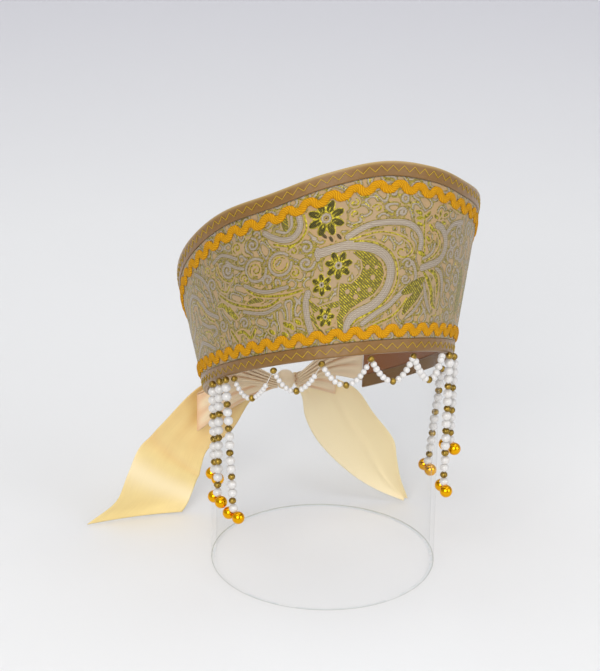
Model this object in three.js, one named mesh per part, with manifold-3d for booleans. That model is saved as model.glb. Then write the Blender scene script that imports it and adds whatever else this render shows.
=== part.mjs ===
// Kokoshnik headdress with bead strings and a ribbon bow, set on a clear tube stand.
// Millimetres, +Z up, the front of the headdress faces -Y.
// The origin is under the middle of the object's box, on the surface that the stand rests on.

import * as THREE from 'three';
import { mergeVertices } from 'three/addons/utils/BufferGeometryUtils.js';
import Module from 'manifold-3d';

const wasm = await Module();
wasm.setup();

// Stand
const TUBE_RADIUS = 73.5;
const TUBE_WALL = 3;
const TUBE_HEIGHT = 184;
const TUBE_SIDES = 48;

// Band of the headdress: an oval, flared wall, open at the back
const BAND_HALF_WIDTH = 77.6;
const BAND_HALF_DEPTH = 103.5;
const BAND_FLARE = 12;
const BAND_SWAY = 0.098;
const BAND_SIDE_RISE = 3.1;
const BAND_END_ANGLE = 140;
const BAND_ANGLE_STEP = 7;
const BAND_WALL = 1;
const LINING_WALL = 1;
const GAP = 0.3;
const SANDWICH = BAND_WALL + GAP + LINING_WALL;

// How the headdress sits on the stand
const TILT_BACK = 32.6;
const LEAN_SIDE = 2.55;
const SEAT = new THREE.Vector3(-0.4, -4.9, 132.4);

// Height of the band above its lower edge, at angles from the middle of the front
const BAND_HEIGHTS = [
  { angle: 0, height: 115.2 },
  { angle: 20, height: 111.1 },
  { angle: 40, height: 103.9 },
  { angle: 60, height: 99.5 },
  { angle: 80, height: 90.6 },
  { angle: 105, height: 77.8 },
  { angle: 140, height: 58.5 },
];

// Satin bindings
const BINDING_PROUD = 0.5;
const TOP_BINDING = 9;
const BOTTOM_BINDING = 8;
const BINDING_ROUND = 1.1;

// Ric-rac braid
const BRAID_WIDTH = 4.4;
const BRAID_LIFT = 0.4;
const BRAID_THICK = 1.2;
const BRAID_WAVE = 1.9;
const BRAID_PERIOD = 13;
const UPPER_BRAID_DROP = 15.4;
const LOWER_BRAID_RISE = 13.2;

// Bead strings
const PEARL = 6;
const SPACER = 5;
const END_BALL = 8.2;
const BEAD_SIDES = 10;
const BALL_RINGS = 6;
const BEAD_NECK = 0.32;
const BALL_SPREAD = 4.5;
const BALL_DROP = 5;
const STRING_OUT = 3.1;
const STRING_DROP = 0.5;
const FRINGE_CORD = 4;
const FRINGE_PEAK_BEAD = 5;
const FRINGE_BEAD_SIDES = 8;
const FRINGE_BEAD_RINGS = 5;
const FRINGE_FIRST_ANGLE = -69;
const FRINGE_STEP_ANGLE = 22;
const FRINGE_SCALLOPS = 5;
const FRINGE_SAG = 16.3;
const FRINGE_DROP = 3.3;
const FRINGE_OUT = 0.4;
const FRINGE_STEPS = 8;
const FRINGE_CORD_SIDES = 8;

// Each hanging string: the angle on the band where it starts, the pearls in its first group, how many
// groups it has, how far it leans for each millimetre down, and which way its two end balls lie apart
const STRINGS = [
  { name: 'bead_string_left_long', angle: -72.4, first: 2, groups: 5, leanX: 0.051, leanY: -0.025, pair: -65 },
  { name: 'bead_string_left_middle', angle: -77, first: 3, groups: 4, leanX: -0.004, leanY: 0.029, pair: -77 },
  { name: 'bead_string_left_short', angle: -83.5, first: 3, groups: 3, leanX: 0.041, leanY: 0.054, pair: -82 },
  { name: 'bead_string_right_long', angle: 45.4, first: 3, groups: 5, leanX: 0.042, leanY: 0.131, pair: -89 },
  { name: 'bead_string_right_short', angle: 52.6, first: 3, groups: 3, leanX: 0.032, leanY: 0.11, pair: -68 },
  { name: 'bead_string_right_middle', angle: 92.5, first: 2, groups: 4, leanX: -0.04, leanY: 0.162, pair: -83 },
];

// Ribbon ties and bow
const SATIN = 1;
const KNOT = { across: 0, back: 86, up: 90, halfWidth: 6.5, halfDepth: 6.2, halfHeight: 6.5 };
const KNOT_SIDES = 12;
const KNOT_RINGS = 8;
const TAIL_GRID = { rows: 13, columns: 4, bulge: 2 };
const STRAP_GRID = { rows: 8, columns: 5, bulge: 0 };

// Colours of the real finishes
const COLOURS = {
  brocade: 0xb5a48a,
  satinGold: 0x9a6f35,
  lining: 0x6d4c33,
  braid: 0xe8a010,
  ribbon: 0xf0d9a0,
  pearl: 0xf4f2ee,
  clear: 0xeef2f4,
};

const deg = THREE.MathUtils.degToRad;
const vec = (x, y, z) => new THREE.Vector3(x, y, z);

function material(colour, roughness, metalness = 0) {
  return new THREE.MeshStandardMaterial({ color: colour, roughness, metalness });
}

// Closed solids from lists of points

function geometryFrom(points, faces) {
  const positions = points.flatMap((p) => [p.x, p.y, p.z]);
  let volume = 0;
  for (const [a, b, c] of faces) {
    volume += points[a].dot(points[b].clone().cross(points[c]));
  }
  const outward = volume > 0 ? faces : faces.map(([a, b, c]) => [a, c, b]);
  const geometry = new THREE.BufferGeometry();
  geometry.setAttribute('position', new THREE.Float32BufferAttribute(positions, 3));
  geometry.setIndex(outward.flat());
  geometry.computeVertexNormals();
  return geometry;
}

// Joins closed sections one after another. The ends are closed across each section's two halves.
function sweep(sections) {
  const size = sections[0].length;
  const points = sections.flat();
  const faces = [];
  for (let row = 0; row + 1 < sections.length; row += 1) {
    for (let i = 0; i < size; i += 1) {
      const next = (i + 1) % size;
      const a = row * size + i;
      const b = row * size + next;
      faces.push([a, b, b + size], [a, b + size, a + size]);
    }
  }
  const last = (sections.length - 1) * size;
  for (let i = 0; i + 1 < size / 2; i += 1) {
    const j = size - 1 - i;
    const corners = [i, i + 1, j - 1, j];
    faces.push([corners[0], corners[2], corners[1]], [corners[0], corners[3], corners[2]]);
    const far = corners.map((corner) => corner + last);
    faces.push([far[0], far[1], far[2]], [far[0], far[2], far[3]]);
  }
  return geometryFrom(points, faces.filter(([a, b, c]) => a !== b && b !== c && a !== c));
}

// A cloth wall about a grid of middle points, rows along the cloth and columns across it
function cloth(grid, thickness) {
  const rows = grid.length;
  const columns = grid[0].length;
  const at = (r, c) => grid[Math.min(Math.max(r, 0), rows - 1)][Math.min(Math.max(c, 0), columns - 1)];
  const sections = grid.map((row, r) => {
    const offsets = row.map((point, c) => {
      const along = at(r + 1, c).clone().sub(at(r - 1, c));
      const across = at(r, c + 1).clone().sub(at(r, c - 1));
      return along.cross(across).normalize().multiplyScalar(thickness / 2);
    });
    const front = row.map((point, c) => point.clone().add(offsets[c]));
    const back = row.map((point, c) => point.clone().sub(offsets[c]));
    return [...front, ...back.reverse()];
  });
  return sweep(sections);
}

// The band's own surface, in the headdress's frame

const heightCurve = new THREE.CatmullRomCurve3(
  [...BAND_HEIGHTS.slice(1).reverse().map((row) => vec(-row.angle, row.height, 0)),
    ...BAND_HEIGHTS.map((row) => vec(row.angle, row.height, 0))],
);

// Height samples every degree, so that a height is found by its angle
const HEIGHT_BY_DEGREE = (() => {
  const samples = heightCurve.getPoints(1200);
  const table = [];
  let index = 0;
  for (let angle = -BAND_END_ANGLE; angle <= BAND_END_ANGLE; angle += 1) {
    while (index + 2 < samples.length && samples[index + 1].x < angle) index += 1;
    const from = samples[index];
    const to = samples[index + 1];
    table.push(THREE.MathUtils.mapLinear(angle, from.x, to.x, from.y, to.y));
  }
  return table;
})();

function bandHeight(angle) {
  const place = THREE.MathUtils.clamp(angle, -BAND_END_ANGLE, BAND_END_ANGLE) + BAND_END_ANGLE;
  const low = Math.min(Math.floor(place), HEIGHT_BY_DEGREE.length - 2);
  return THREE.MathUtils.lerp(HEIGHT_BY_DEGREE[low], HEIGHT_BY_DEGREE[low + 1], place - low);
}

// A point at an angle from the front, a height above the lower edge, and a way out of the outer face
function onBand(angle, height, out = 0) {
  const turn = deg(angle);
  const sin = Math.sin(turn);
  const cos = Math.cos(turn);
  const flare = height * Math.tan(deg(BAND_FLARE));
  const outward = vec(sin / BAND_HALF_WIDTH, -cos / BAND_HALF_DEPTH, 0).normalize().multiplyScalar(out);
  return vec(
    (BAND_HALF_WIDTH + flare) * sin + BAND_SWAY * height,
    -(BAND_HALF_DEPTH + flare) * cos,
    height + BAND_SIDE_RISE * sin * sin,
  ).add(outward);
}

function bandAngles(step = BAND_ANGLE_STEP) {
  const count = Math.round((2 * BAND_END_ANGLE) / step);
  return Array.from({ length: count + 1 }, (_, i) => -BAND_END_ANGLE + (i * 2 * BAND_END_ANGLE) / count);
}

// A wall between the bindings, from one way out of the outer face to another
function bandWall(fromOut, toOut) {
  const low = BOTTOM_BINDING + GAP;
  const sections = bandAngles().map((angle) => {
    const top = bandHeight(angle) - TOP_BINDING - GAP;
    return [
      onBand(angle, low, fromOut),
      onBand(angle, top, fromOut),
      onBand(angle, top, toOut),
      onBand(angle, low, toOut),
    ];
  });
  return sweep(sections);
}

// A binding takes the whole thickness of the wall and stands a little proud of its outer face
function binding(edgeAt, direction, depth) {
  const sections = bandAngles().map((angle) => {
    const edge = edgeAt(angle);
    const inward = edge - direction * depth;
    const shoulder = edge - direction * BINDING_ROUND;
    const proud = BINDING_PROUD;
    const inner = -SANDWICH;
    return [
      onBand(angle, inward, proud),
      onBand(angle, shoulder, proud),
      onBand(angle, edge, proud - BINDING_ROUND),
      onBand(angle, edge, inner + BINDING_ROUND),
      onBand(angle, shoulder, inner),
      onBand(angle, inward, inner),
    ];
  });
  return sweep(sections);
}

// A waved braid along a line on the band's outer face, with a ridged section
function ricRac(heightAt) {
  const samples = bandAngles(0.5);
  const lengths = [0];
  for (let i = 1; i < samples.length; i += 1) {
    const here = onBand(samples[i], heightAt(samples[i]));
    const before = onBand(samples[i - 1], heightAt(samples[i - 1]));
    lengths.push(lengths[i - 1] + here.distanceTo(before));
  }
  const total = lengths[lengths.length - 1];
  const steps = Math.round(total / BRAID_PERIOD) * 4;
  const slope = (2 * Math.PI * BRAID_WAVE) / BRAID_PERIOD;
  const sections = [];
  let index = 0;
  for (let step = 1; step < steps; step += 1) {
    const length = (total * step) / steps;
    while (index + 2 < lengths.length && lengths[index + 1] < length) index += 1;
    const share = (length - lengths[index]) / (lengths[index + 1] - lengths[index]);
    const angle = THREE.MathUtils.lerp(samples[index], samples[index + 1], share);
    const phase = (step * Math.PI) / 2;
    const middle = heightAt(angle) + BRAID_WAVE * Math.sin(phase);
    const half = (BRAID_WIDTH / 2) * Math.hypot(1, slope * Math.cos(phase));
    sections.push([
      onBand(angle, middle - half, BRAID_LIFT),
      onBand(angle, middle, BRAID_LIFT + BRAID_THICK),
      onBand(angle, middle + half, BRAID_LIFT),
    ]);
  }
  return sweep(sections);
}

// A string of beads as one body of revolution about the string, thin where two beads meet
function beadString(start, direction, diameters) {
  const axis = direction.clone().normalize();
  const side = vec(0, 1, 0).cross(axis).normalize();
  const front = axis.clone().cross(side);
  const ring = (along, radius) => Array.from({ length: BEAD_SIDES }, (_, i) => {
    const turn = (i * 2 * Math.PI) / BEAD_SIDES;
    return start.clone()
      .addScaledVector(axis, along)
      .addScaledVector(side, radius * Math.cos(turn))
      .addScaledVector(front, radius * Math.sin(turn));
  });
  const rings = [];
  let along = 0;
  diameters.forEach((diameter, i) => {
    const neck = BEAD_NECK * Math.min(diameter, diameters[i - 1] ?? diameter);
    rings.push(ring(along, neck));
    rings.push(ring(along + diameter / 2, diameter / 2));
    along += diameter;
  });
  rings.push(ring(along, BEAD_NECK * diameters[diameters.length - 1]));
  return sweep(rings);
}

function solidFrom(geometry) {
  const bare = geometry.clone();
  bare.deleteAttribute('normal');
  bare.deleteAttribute('uv');
  const merged = mergeVertices(bare, 1e-4);
  return new wasm.Manifold(new wasm.Mesh({
    numProp: 3,
    vertProperties: new Float32Array(merged.attributes.position.array),
    triVerts: new Uint32Array(merged.index.array),
  }));
}

function geometryOf(solid) {
  const mesh = solid.getMesh();
  const geometry = new THREE.BufferGeometry();
  geometry.setAttribute('position', new THREE.BufferAttribute(new Float32Array(mesh.vertProperties), 3));
  geometry.setIndex(new THREE.BufferAttribute(new Uint32Array(mesh.triVerts), 1));
  geometry.computeVertexNormals();
  return geometry;
}

// Groups: the headdress is tilted on the stand, and what hangs from it hangs in the stand's frame

const object = new THREE.Group();
const headdress = new THREE.Group();
headdress.position.copy(SEAT);
headdress.rotation.set(-deg(TILT_BACK), deg(LEAN_SIDE), 0, 'YXZ');
headdress.updateMatrix();
object.add(headdress);

function addMesh(group, name, geometry, finish) {
  const mesh = new THREE.Mesh(geometry, finish);
  mesh.name = name;
  group.add(mesh);
}

// A point on the band, in the stand's frame
function hungFrom(angle, height, out) {
  return onBand(angle, height, out).applyMatrix4(headdress.matrix);
}

function makeStand() {
  const inner = TUBE_RADIUS - TUBE_WALL;
  const profile = [[inner, 0], [TUBE_RADIUS, 0], [TUBE_RADIUS, TUBE_HEIGHT], [inner, TUBE_HEIGHT], [inner, 0]];
  const geometry = new THREE.LatheGeometry(profile.map(([x, y]) => new THREE.Vector2(x, y)), TUBE_SIDES);
  geometry.rotateX(Math.PI / 2);
  addMesh(object, 'stand_tube', geometry, material(COLOURS.clear, 0.05));
}

function makeBand() {
  const brocade = bandWall(0, -BAND_WALL);
  addMesh(headdress, 'front_band', brocade, material(COLOURS.brocade, 0.6));
  const lining = bandWall(-SANDWICH, -BAND_WALL - GAP);
  addMesh(headdress, 'band_lining', lining, material(COLOURS.lining, 0.5));
  const satin = material(COLOURS.satinGold, 0.45);
  addMesh(headdress, 'top_binding', binding(bandHeight, 1, TOP_BINDING), satin);
  addMesh(headdress, 'bottom_binding', binding(() => 0, -1, BOTTOM_BINDING), satin.clone());
}

function makeBraids() {
  const upper = ricRac((angle) => bandHeight(angle) - UPPER_BRAID_DROP);
  addMesh(headdress, 'upper_ric_rac', upper, material(COLOURS.braid, 0.8));
  const lower = ricRac(() => LOWER_BRAID_RISE);
  addMesh(headdress, 'lower_ric_rac', lower, material(COLOURS.braid, 0.8));
}

function joined(geometries) {
  return geometryOf(geometries.map(solidFrom).reduce((sum, solid) => sum.add(solid)));
}

// A string ends in two balls, side by side under its last pearl
function makeStrings() {
  for (const { name, angle, first, groups, leanX, leanY, pair } of STRINGS) {
    const diameters = [SPACER, ...Array(first).fill(PEARL), SPACER];
    for (let i = 1; i < groups; i += 1) diameters.push(PEARL, PEARL, SPACER);
    diameters.push(PEARL);
    const start = hungFrom(angle, 0, STRING_OUT).add(vec(0, 0, -STRING_DROP));
    const direction = vec(leanX, leanY, -1).normalize();
    const length = diameters.reduce((sum, diameter) => sum + diameter, 0) - PEARL / 2 + BALL_DROP;
    const middle = start.clone().addScaledVector(direction, length);
    const apart = vec(Math.cos(deg(pair)), Math.sin(deg(pair)), 0).multiplyScalar(BALL_SPREAD);
    const balls = [middle.clone().add(apart), middle.clone().sub(apart)].map((centre) => {
      const ball = new THREE.SphereGeometry(END_BALL / 2, BEAD_SIDES, BALL_RINGS);
      ball.rotateX(Math.PI / 2);
      return ball.translate(...centre.toArray());
    });
    const string = joined([beadString(start, direction, diameters), ...balls]);
    addMesh(object, name, string, material(COLOURS.pearl, 0.25));
  }
}

// Scallops of small beads, joined where they meet under a larger bead
function makeFringe() {
  const peaks = Array.from({ length: FRINGE_SCALLOPS + 1 }, (_, i) => (
    FRINGE_FIRST_ANGLE + i * FRINGE_STEP_ANGLE));
  const peakAt = (angle) => hungFrom(angle, 0, FRINGE_OUT).add(vec(0, 0, -FRINGE_DROP));
  const cordSection = new THREE.Shape().absarc(0, 0, FRINGE_CORD / 2, 0, 2 * Math.PI);
  const beads = peaks.map((angle) => (
    new THREE.SphereGeometry(FRINGE_PEAK_BEAD / 2, FRINGE_BEAD_SIDES, FRINGE_BEAD_RINGS)
      .translate(...peakAt(angle).toArray())));
  const scallops = peaks.slice(1).map((angle, i) => {
    const points = Array.from({ length: FRINGE_STEPS + 1 }, (_, k) => {
      const share = k / FRINGE_STEPS;
      const point = peakAt(THREE.MathUtils.lerp(peaks[i], angle, share));
      return point.add(vec(0, 0, -FRINGE_SAG * 4 * share * (1 - share)));
    });
    return new THREE.ExtrudeGeometry(cordSection, {
      extrudePath: new THREE.CatmullRomCurve3(points),
      steps: FRINGE_STEPS,
      curveSegments: FRINGE_CORD_SIDES / 2,
    });
  });
  addMesh(object, 'scallop_fringe', joined([...beads, ...scallops]), material(COLOURS.pearl, 0.25));
}

// Smooth grid between rows that give the two edges of a ribbon
function ribbonGrid(edges, { rows, columns, bulge }) {
  const curveOf = (key) => new THREE.CatmullRomCurve3(edges.map((edge) => vec(...edge[key])));
  const first = curveOf('first');
  const second = curveOf('second');
  return Array.from({ length: rows }, (_, r) => {
    const t = r / (rows - 1);
    const from = first.getPoint(t);
    const to = second.getPoint(t);
    return Array.from({ length: columns }, (__, c) => {
      const share = c / (columns - 1);
      return from.clone().lerp(to, share).add(vec(0, bulge * Math.sin(Math.PI * share), 0));
    });
  });
}

// Left tail: it leaves the knot sideways, turns down and stands on its slanted end
const LEFT_TAIL = [
  { first: [-8, 93, 91], second: [-8, 93, 84] },
  { first: [-29, 94, 94], second: [-21, 94, 74] },
  { first: [-56, 92, 90], second: [-36, 92.5, 53] },
  { first: [-85, 89, 66], second: [-54, 90, 42.5] },
  { first: [-102, 86, 52.5], second: [-59, 88, 30] },
  { first: [-111, 84, 36], second: [-62.5, 85.5, 20] },
  { first: [-120, 83.5, 15], second: [-67, 84, 8.5] },
  { first: [-139, 83, 1.4], second: [-73, 83.5, 1.4] },
];

// Right tail: it falls forward round the tube, and its slanted end runs down to a tip
const RIGHT_TAIL = [
  { first: [8, 93, 91], second: [8, 93, 84] },
  { first: [31.5, 91, 86], second: [13.5, 92, 73.5] },
  { first: [48.5, 80.5, 79], second: [15, 88, 59.5] },
  { first: [58, 71, 64.5], second: [21, 82, 45] },
  { first: [70, 62, 46.5], second: [32, 75, 31] },
  { first: [72, 60.5, 34], second: [46, 69, 18] },
  { first: [74.5, 59, 19], second: [60, 63.5, 9] },
  { first: [79.5, 57, 3.2], second: [77, 57.5, 1.4] },
];

// Straps: the ribbon sewn along the end of the band, gathered in to the knot
const STRAP_END_GAP = 0.6;
const STRAP_HEM = { low: 5, high: 50 };
const STRAP_MIDDLE = { outer: [32, 86, 111], inner: [29, 77.5, 93] };
const STRAP_ROOT = { gap: 0.7, outer: [82, 94.5], inner: [80.6, 87] };

function strapRows(side) {
  const endAngle = side * (BAND_END_ANGLE + STRAP_END_GAP);
  const lower = hungFrom(endAngle, STRAP_HEM.low, -SANDWICH / 2);
  const upper = hungFrom(endAngle, STRAP_HEM.high, -SANDWICH / 2);
  const knotSide = side * (KNOT.halfWidth + STRAP_ROOT.gap);
  const sided = ([across, back, up]) => [side * across, back, up];
  return [
    { first: upper.toArray(), second: lower.toArray() },
    { first: sided(STRAP_MIDDLE.outer), second: sided(STRAP_MIDDLE.inner) },
    { first: [knotSide, ...STRAP_ROOT.outer], second: [knotSide, ...STRAP_ROOT.inner] },
  ];
}

// Bow loops: each goes out from the knot, turns at its end and comes back on its outer side
const BOW_LOOPS = [
  { name: 'bow_loop_left', side: -1, reach: 54, drop: 16, wide: 27, curl: 0 },
  { name: 'bow_loop_right', side: 1, reach: 27, drop: 3, wide: 19, curl: 0.6 },
];

const LOOP_ROOT = 8;
const LOOP_LAYERS = 3.2;
const LOOP_PUFF = 1;
const LOOP_GAP = 0.8;
const LOOP_STEPS = 12;

function loopGrid({ side, reach, drop, wide, curl }) {
  const turn = LOOP_STEPS / 2;
  return Array.from({ length: LOOP_STEPS + 1 }, (_, i) => {
    const out = Math.sin((Math.PI * i) / LOOP_STEPS);
    const length = KNOT.halfWidth + LOOP_GAP + reach * out;
    const puff = (i < turn ? -1 : 1) * (LOOP_LAYERS / 2 + LOOP_PUFF * Math.sin(Math.PI * out));
    const depth = KNOT.back + LOOP_GAP + (i === turn ? 0 : puff) - (curl * length * length) / (2 * KNOT.back);
    const middle = KNOT.up - 1 - drop * out * out;
    const half = THREE.MathUtils.lerp(LOOP_ROOT / 2, wide / 2, out);
    return [1, 0, -1].map((k) => vec(side * length, depth, middle + k * half));
  });
}

function makeBow() {
  const satin = material(COLOURS.ribbon, 0.35);
  for (const [name, side] of [['tie_strap_left', -1], ['tie_strap_right', 1]]) {
    addMesh(object, name, cloth(ribbonGrid(strapRows(side), STRAP_GRID), SATIN), satin.clone());
  }
  for (const loop of BOW_LOOPS) {
    addMesh(object, loop.name, cloth(loopGrid(loop), SATIN), satin.clone());
  }
  addMesh(object, 'ribbon_tail_left', cloth(ribbonGrid(LEFT_TAIL, TAIL_GRID), SATIN), satin.clone());
  addMesh(object, 'ribbon_tail_right', cloth(ribbonGrid(RIGHT_TAIL, TAIL_GRID), SATIN), satin.clone());
  const knot = new THREE.SphereGeometry(1, KNOT_SIDES, KNOT_RINGS);
  knot.scale(KNOT.halfWidth, KNOT.halfDepth, KNOT.halfHeight);
  knot.translate(KNOT.across, KNOT.back, KNOT.up);
  addMesh(object, 'bow_knot', knot, satin.clone());
}

makeStand();
makeBand();
makeBraids();
makeFringe();
makeStrings();
makeBow();

// The origin goes under the middle of the box
object.updateMatrixWorld(true);
const extent = new THREE.Box3().setFromObject(object, true);
object.position.set(
  -(extent.min.x + extent.max.x) / 2,
  -(extent.min.y + extent.max.y) / 2,
  -extent.min.z,
);
object.updateMatrixWorld(true);

export default object;
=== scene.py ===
"""A kokoshnik headdress with bead strings and a ribbon bow, set on a clear tube stand.

Lengths are in metres, +Z is up, and the front of the headdress faces -Y. Tables of points
are in millimetres and are multiplied by MM where they are used.
"""

import math

import bmesh
import bpy
import numpy as np
from bpy.props import FloatProperty, FloatVectorProperty, PointerProperty
from mathutils import Matrix, Vector


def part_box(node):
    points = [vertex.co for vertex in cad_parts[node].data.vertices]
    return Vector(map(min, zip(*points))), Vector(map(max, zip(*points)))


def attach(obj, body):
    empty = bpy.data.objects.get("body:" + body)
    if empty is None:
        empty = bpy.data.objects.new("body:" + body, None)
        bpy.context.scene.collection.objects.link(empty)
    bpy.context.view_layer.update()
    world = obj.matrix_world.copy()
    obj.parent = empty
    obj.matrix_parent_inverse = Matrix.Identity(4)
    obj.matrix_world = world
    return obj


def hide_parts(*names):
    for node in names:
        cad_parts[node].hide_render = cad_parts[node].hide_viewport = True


bl_info = {
    "name": "Kokoshnik headdress",
    "version": (1, 0, 0),
    "blender": (4, 5, 0),
    "location": "View3D > Sidebar > Kokoshnik",
    "description": "Builds a brocade kokoshnik with bead strings and a ribbon bow on a clear tube stand",
    "category": "Object",
}

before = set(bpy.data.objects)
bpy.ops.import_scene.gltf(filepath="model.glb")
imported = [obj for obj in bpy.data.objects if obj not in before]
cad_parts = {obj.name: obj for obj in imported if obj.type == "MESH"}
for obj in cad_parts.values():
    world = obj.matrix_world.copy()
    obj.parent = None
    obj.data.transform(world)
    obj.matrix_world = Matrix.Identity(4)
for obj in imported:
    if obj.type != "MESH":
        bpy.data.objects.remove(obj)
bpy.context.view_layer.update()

MM = 0.001
STAND_LOW, STAND_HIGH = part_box("stand_tube")
AXIS = np.array(((STAND_LOW.x + STAND_HIGH.x) / 2, (STAND_LOW.y + STAND_HIGH.y) / 2, STAND_LOW.z))
TUBE_OUTER = (STAND_HIGH.x - STAND_LOW.x) / 2
TUBE_HIGH = STAND_HIGH.z - STAND_LOW.z
TUBE_SOFT = 0.5 * MM

# Band of the headdress: an oval, flared wall, open at the back
BAND_HALF_WIDTH = 77.6 * MM
BAND_HALF_DEPTH = 103.5 * MM
BAND_FLARE = math.radians(12)
BAND_SWAY = 0.098
BAND_SIDE_RISE = 3.1 * MM
BAND_END = math.radians(140)
BAND_WALL = 1 * MM
LINING_WALL = 1 * MM
LINING_SLACK = 0.12 * MM
GAP = 0.3 * MM
SANDWICH = BAND_WALL + GAP + LINING_WALL
HALF_WAY_UP = 55 * MM

# The band's height in millimetres at angles away from the middle of its front, in degrees
BAND_HEIGHTS = ((0, 115.2), (20, 111.1), (40, 103.9), (60, 99.5), (80, 90.6), (105, 77.8), (140, 58.5))

# How the headdress sits on the stand
TILT_BACK = math.radians(32.6)
LEAN_SIDE = math.radians(2.55)
SEAT = np.array((-0.4, -4.9, 132.4)) * MM
SEAT_TURN = np.array(Matrix.Rotation(LEAN_SIDE, 3, "Y") @ Matrix.Rotation(-TILT_BACK, 3, "X"))

# Satin bindings and the braid beside them
BINDING_PROUD = 0.5 * MM
TOP_BINDING = 9 * MM
BOTTOM_BINDING = 8 * MM
BINDING_ROUND = 1.1 * MM
# Width of the painted highlight along the top binding's edge
PAINTED_HIGHLIGHT_WIDTH = 1.4 * MM
PUCKER = 0.09 * MM
SLOW_CREASE = 0.1 * MM
HEM_ROLL = 0.12 * MM
HEM_INSET = 1.2 * MM
HEM_WIDTH = 0.7 * MM
HEM_FOOT = 0.12 * MM
HEM_CORNER = 0.5 * MM
TOP_STITCH_INSET = 4.6 * MM
BOTTOM_STITCH_INSET = 4 * MM
STITCH_END_ANGLE = 0.01
BRAID_PERIOD = 13 * MM
BRAID_CREST = 0.12
BRAID_LIFT = 0.3 * MM
BRAID_END_GAP = 1 * MM
UPPER_BRAID_DROP = 15.4 * MM
LOWER_BRAID_RISE = 13.2 * MM

# Slow waves along the lining and along the bindings: two lengths, and where the longer one starts
LINING_WAVES = (9 * MM, 23 * MM, 1)
CREASE_WAVES = (17 * MM, 41 * MM, 2)

# Bead strings and the fringe
PEARL = 6 * MM
SPACER = 5 * MM
END_BALL = 8.2 * MM
BALL_SPREAD = 4.5 * MM
BALL_DROP = 5 * MM
STRING_OUT = 3.1 * MM
STRING_DROP = 0.5 * MM
FRINGE_FIRST_ANGLE = -69
FRINGE_STEP_ANGLE = 22
FRINGE_SCALLOPS = 5
FRINGE_SAG = 16.3 * MM
FRINGE_DROP = 3.3 * MM
FRINGE_OUT = 0.4 * MM
FRINGE_BEAD = 4.6 * MM
FRINGE_PEARLS = 5
FRINGE_OVERLAP = 1.08
BEAD_DRIFT = 0.2 * MM
BEAD_TIP = 0.12
BEAD_SWELL = (0.97, 1.02)
BEAD_SEED = 11

# Each hanging string: the angle on the band where it starts, the pearls in its first group, how many
# groups it has, how far it leans for each millimetre down, and which way its two end balls lie apart
STRINGS = (
    ("bead_string_left_long", -72.4, 2, 5, 0.051, -0.025, -65),
    ("bead_string_left_middle", -77, 3, 4, -0.004, 0.029, -77),
    ("bead_string_left_short", -83.5, 3, 3, 0.041, 0.054, -82),
    ("bead_string_right_long", 45.4, 3, 5, 0.042, 0.131, -89),
    ("bead_string_right_short", 52.6, 3, 3, 0.032, 0.11, -68),
    ("bead_string_right_middle", 92.5, 2, 4, -0.04, 0.162, -83),
)

# Kinds of bead, as numbers that the bead tree reads
PEARL_KIND, SPACER_KIND, BALL_KIND, THREAD_KIND = range(4)

# Each kind's ball: its sides, its rings, and its length along the thread as a share of its width
BEAD_BALLS = ((PEARL_KIND, 16, 10, 0.97), (SPACER_KIND, 14, 9, 0.86), (BALL_KIND, 32, 20, 1))
THREAD_SIDES = 6

# Ribbon bow: rows that give the two edges of the ribbon, in millimetres from the tube's axis
KNOT_MIDDLE = np.array((0, 86, 90)) * MM
KNOT_HALF = np.array((6.5, 6.2, 6.5)) * MM
RIBBON_THICK = 0.5 * MM
LEFT_TAIL = (
    ((-8, 93, 91), (-8, 93, 84)),
    ((-29, 94, 94), (-21, 94, 74)),
    ((-56, 92, 90), (-36, 92.5, 53)),
    ((-85, 89, 66), (-54, 90, 42.5)),
    ((-102, 86, 52.5), (-59, 88, 30)),
    ((-111, 84, 36), (-62.5, 85.5, 20)),
    ((-120, 83.5, 15), (-67, 84, 8.5)),
    ((-139, 83, 1.4), (-73, 83.5, 1.4)),
)
RIGHT_TAIL = (
    ((8, 93, 91), (8, 93, 84)),
    ((31.5, 91, 86), (13.5, 92, 73.5)),
    ((48.5, 80.5, 79), (15, 88, 59.5)),
    ((58, 71, 64.5), (21, 82, 45)),
    ((70, 62, 46.5), (32, 75, 31)),
    ((72, 60.5, 34), (46, 69, 18)),
    ((74.5, 59, 19), (60, 63.5, 9)),
    ((79.5, 57, 3.2), (77, 57.5, 1.4)),
)
TAIL_BULGE = 2 * MM
TAIL_GATHERS = 6
GATHER_DEPTH = 0.9 * MM
GATHER_START = 0.04
GATHER_RUN = 0.16
LEFT_BILLOW = 3.2 * MM
LEFT_CREASE = 1.4 * MM
RIGHT_BILLOW = 1.2 * MM
RIGHT_RIDGE = 0.6 * MM
STRAP_END_GAP = math.radians(0.6)
STRAP_HEM = (5 * MM, 50 * MM)
STRAP_MIDDLE = ((32, 86, 111), (29, 77.5, 93))
STRAP_ROOT = ((7.2, 82, 94.5), (7.2, 80.6, 87))
STRAP_PLEATS = 11
STRAP_PLEAT_DEPTH = 1.3 * MM

# Loops of the bow: name, side, then in millimetres the reach, the drop at the far end and the width
# there, and last how closely it bends round the tube, from 0 to 1
LOOPS = (
    ("bow_loop_left", -1, 54, 16, 27, 0),
    ("bow_loop_right", 1, 27, 3, 19, 0.6),
)

# A loop at the knot, in millimetres: its gap, half its width and the depth of its creases
LOOP_ROOT_GAP = 0.8
LOOP_ROOT_HALF = 4
LOOP_CREASE = 0.35

# How finely each piece is divided: steps along it, then steps across it
BAND_GRID = (640, 102)
LINING_GRID = (260, 34)
BINDING_STEPS = 620
ZIGZAG_STEPS = 1200
BRAID_WAVE_STEPS = 22
BRAID_SIDES = 14
TAIL_GRID = (150, 44)
STRAP_GRID = (60, 50)
LOOP_GRID = (96, 26)
KNOT_GRID = (40, 64)
TUBE_STEPS = 192
HEIGHT_STEPS = 1200
LENGTH_STEPS = 1121
SCALLOP_STEPS = 161

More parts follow.
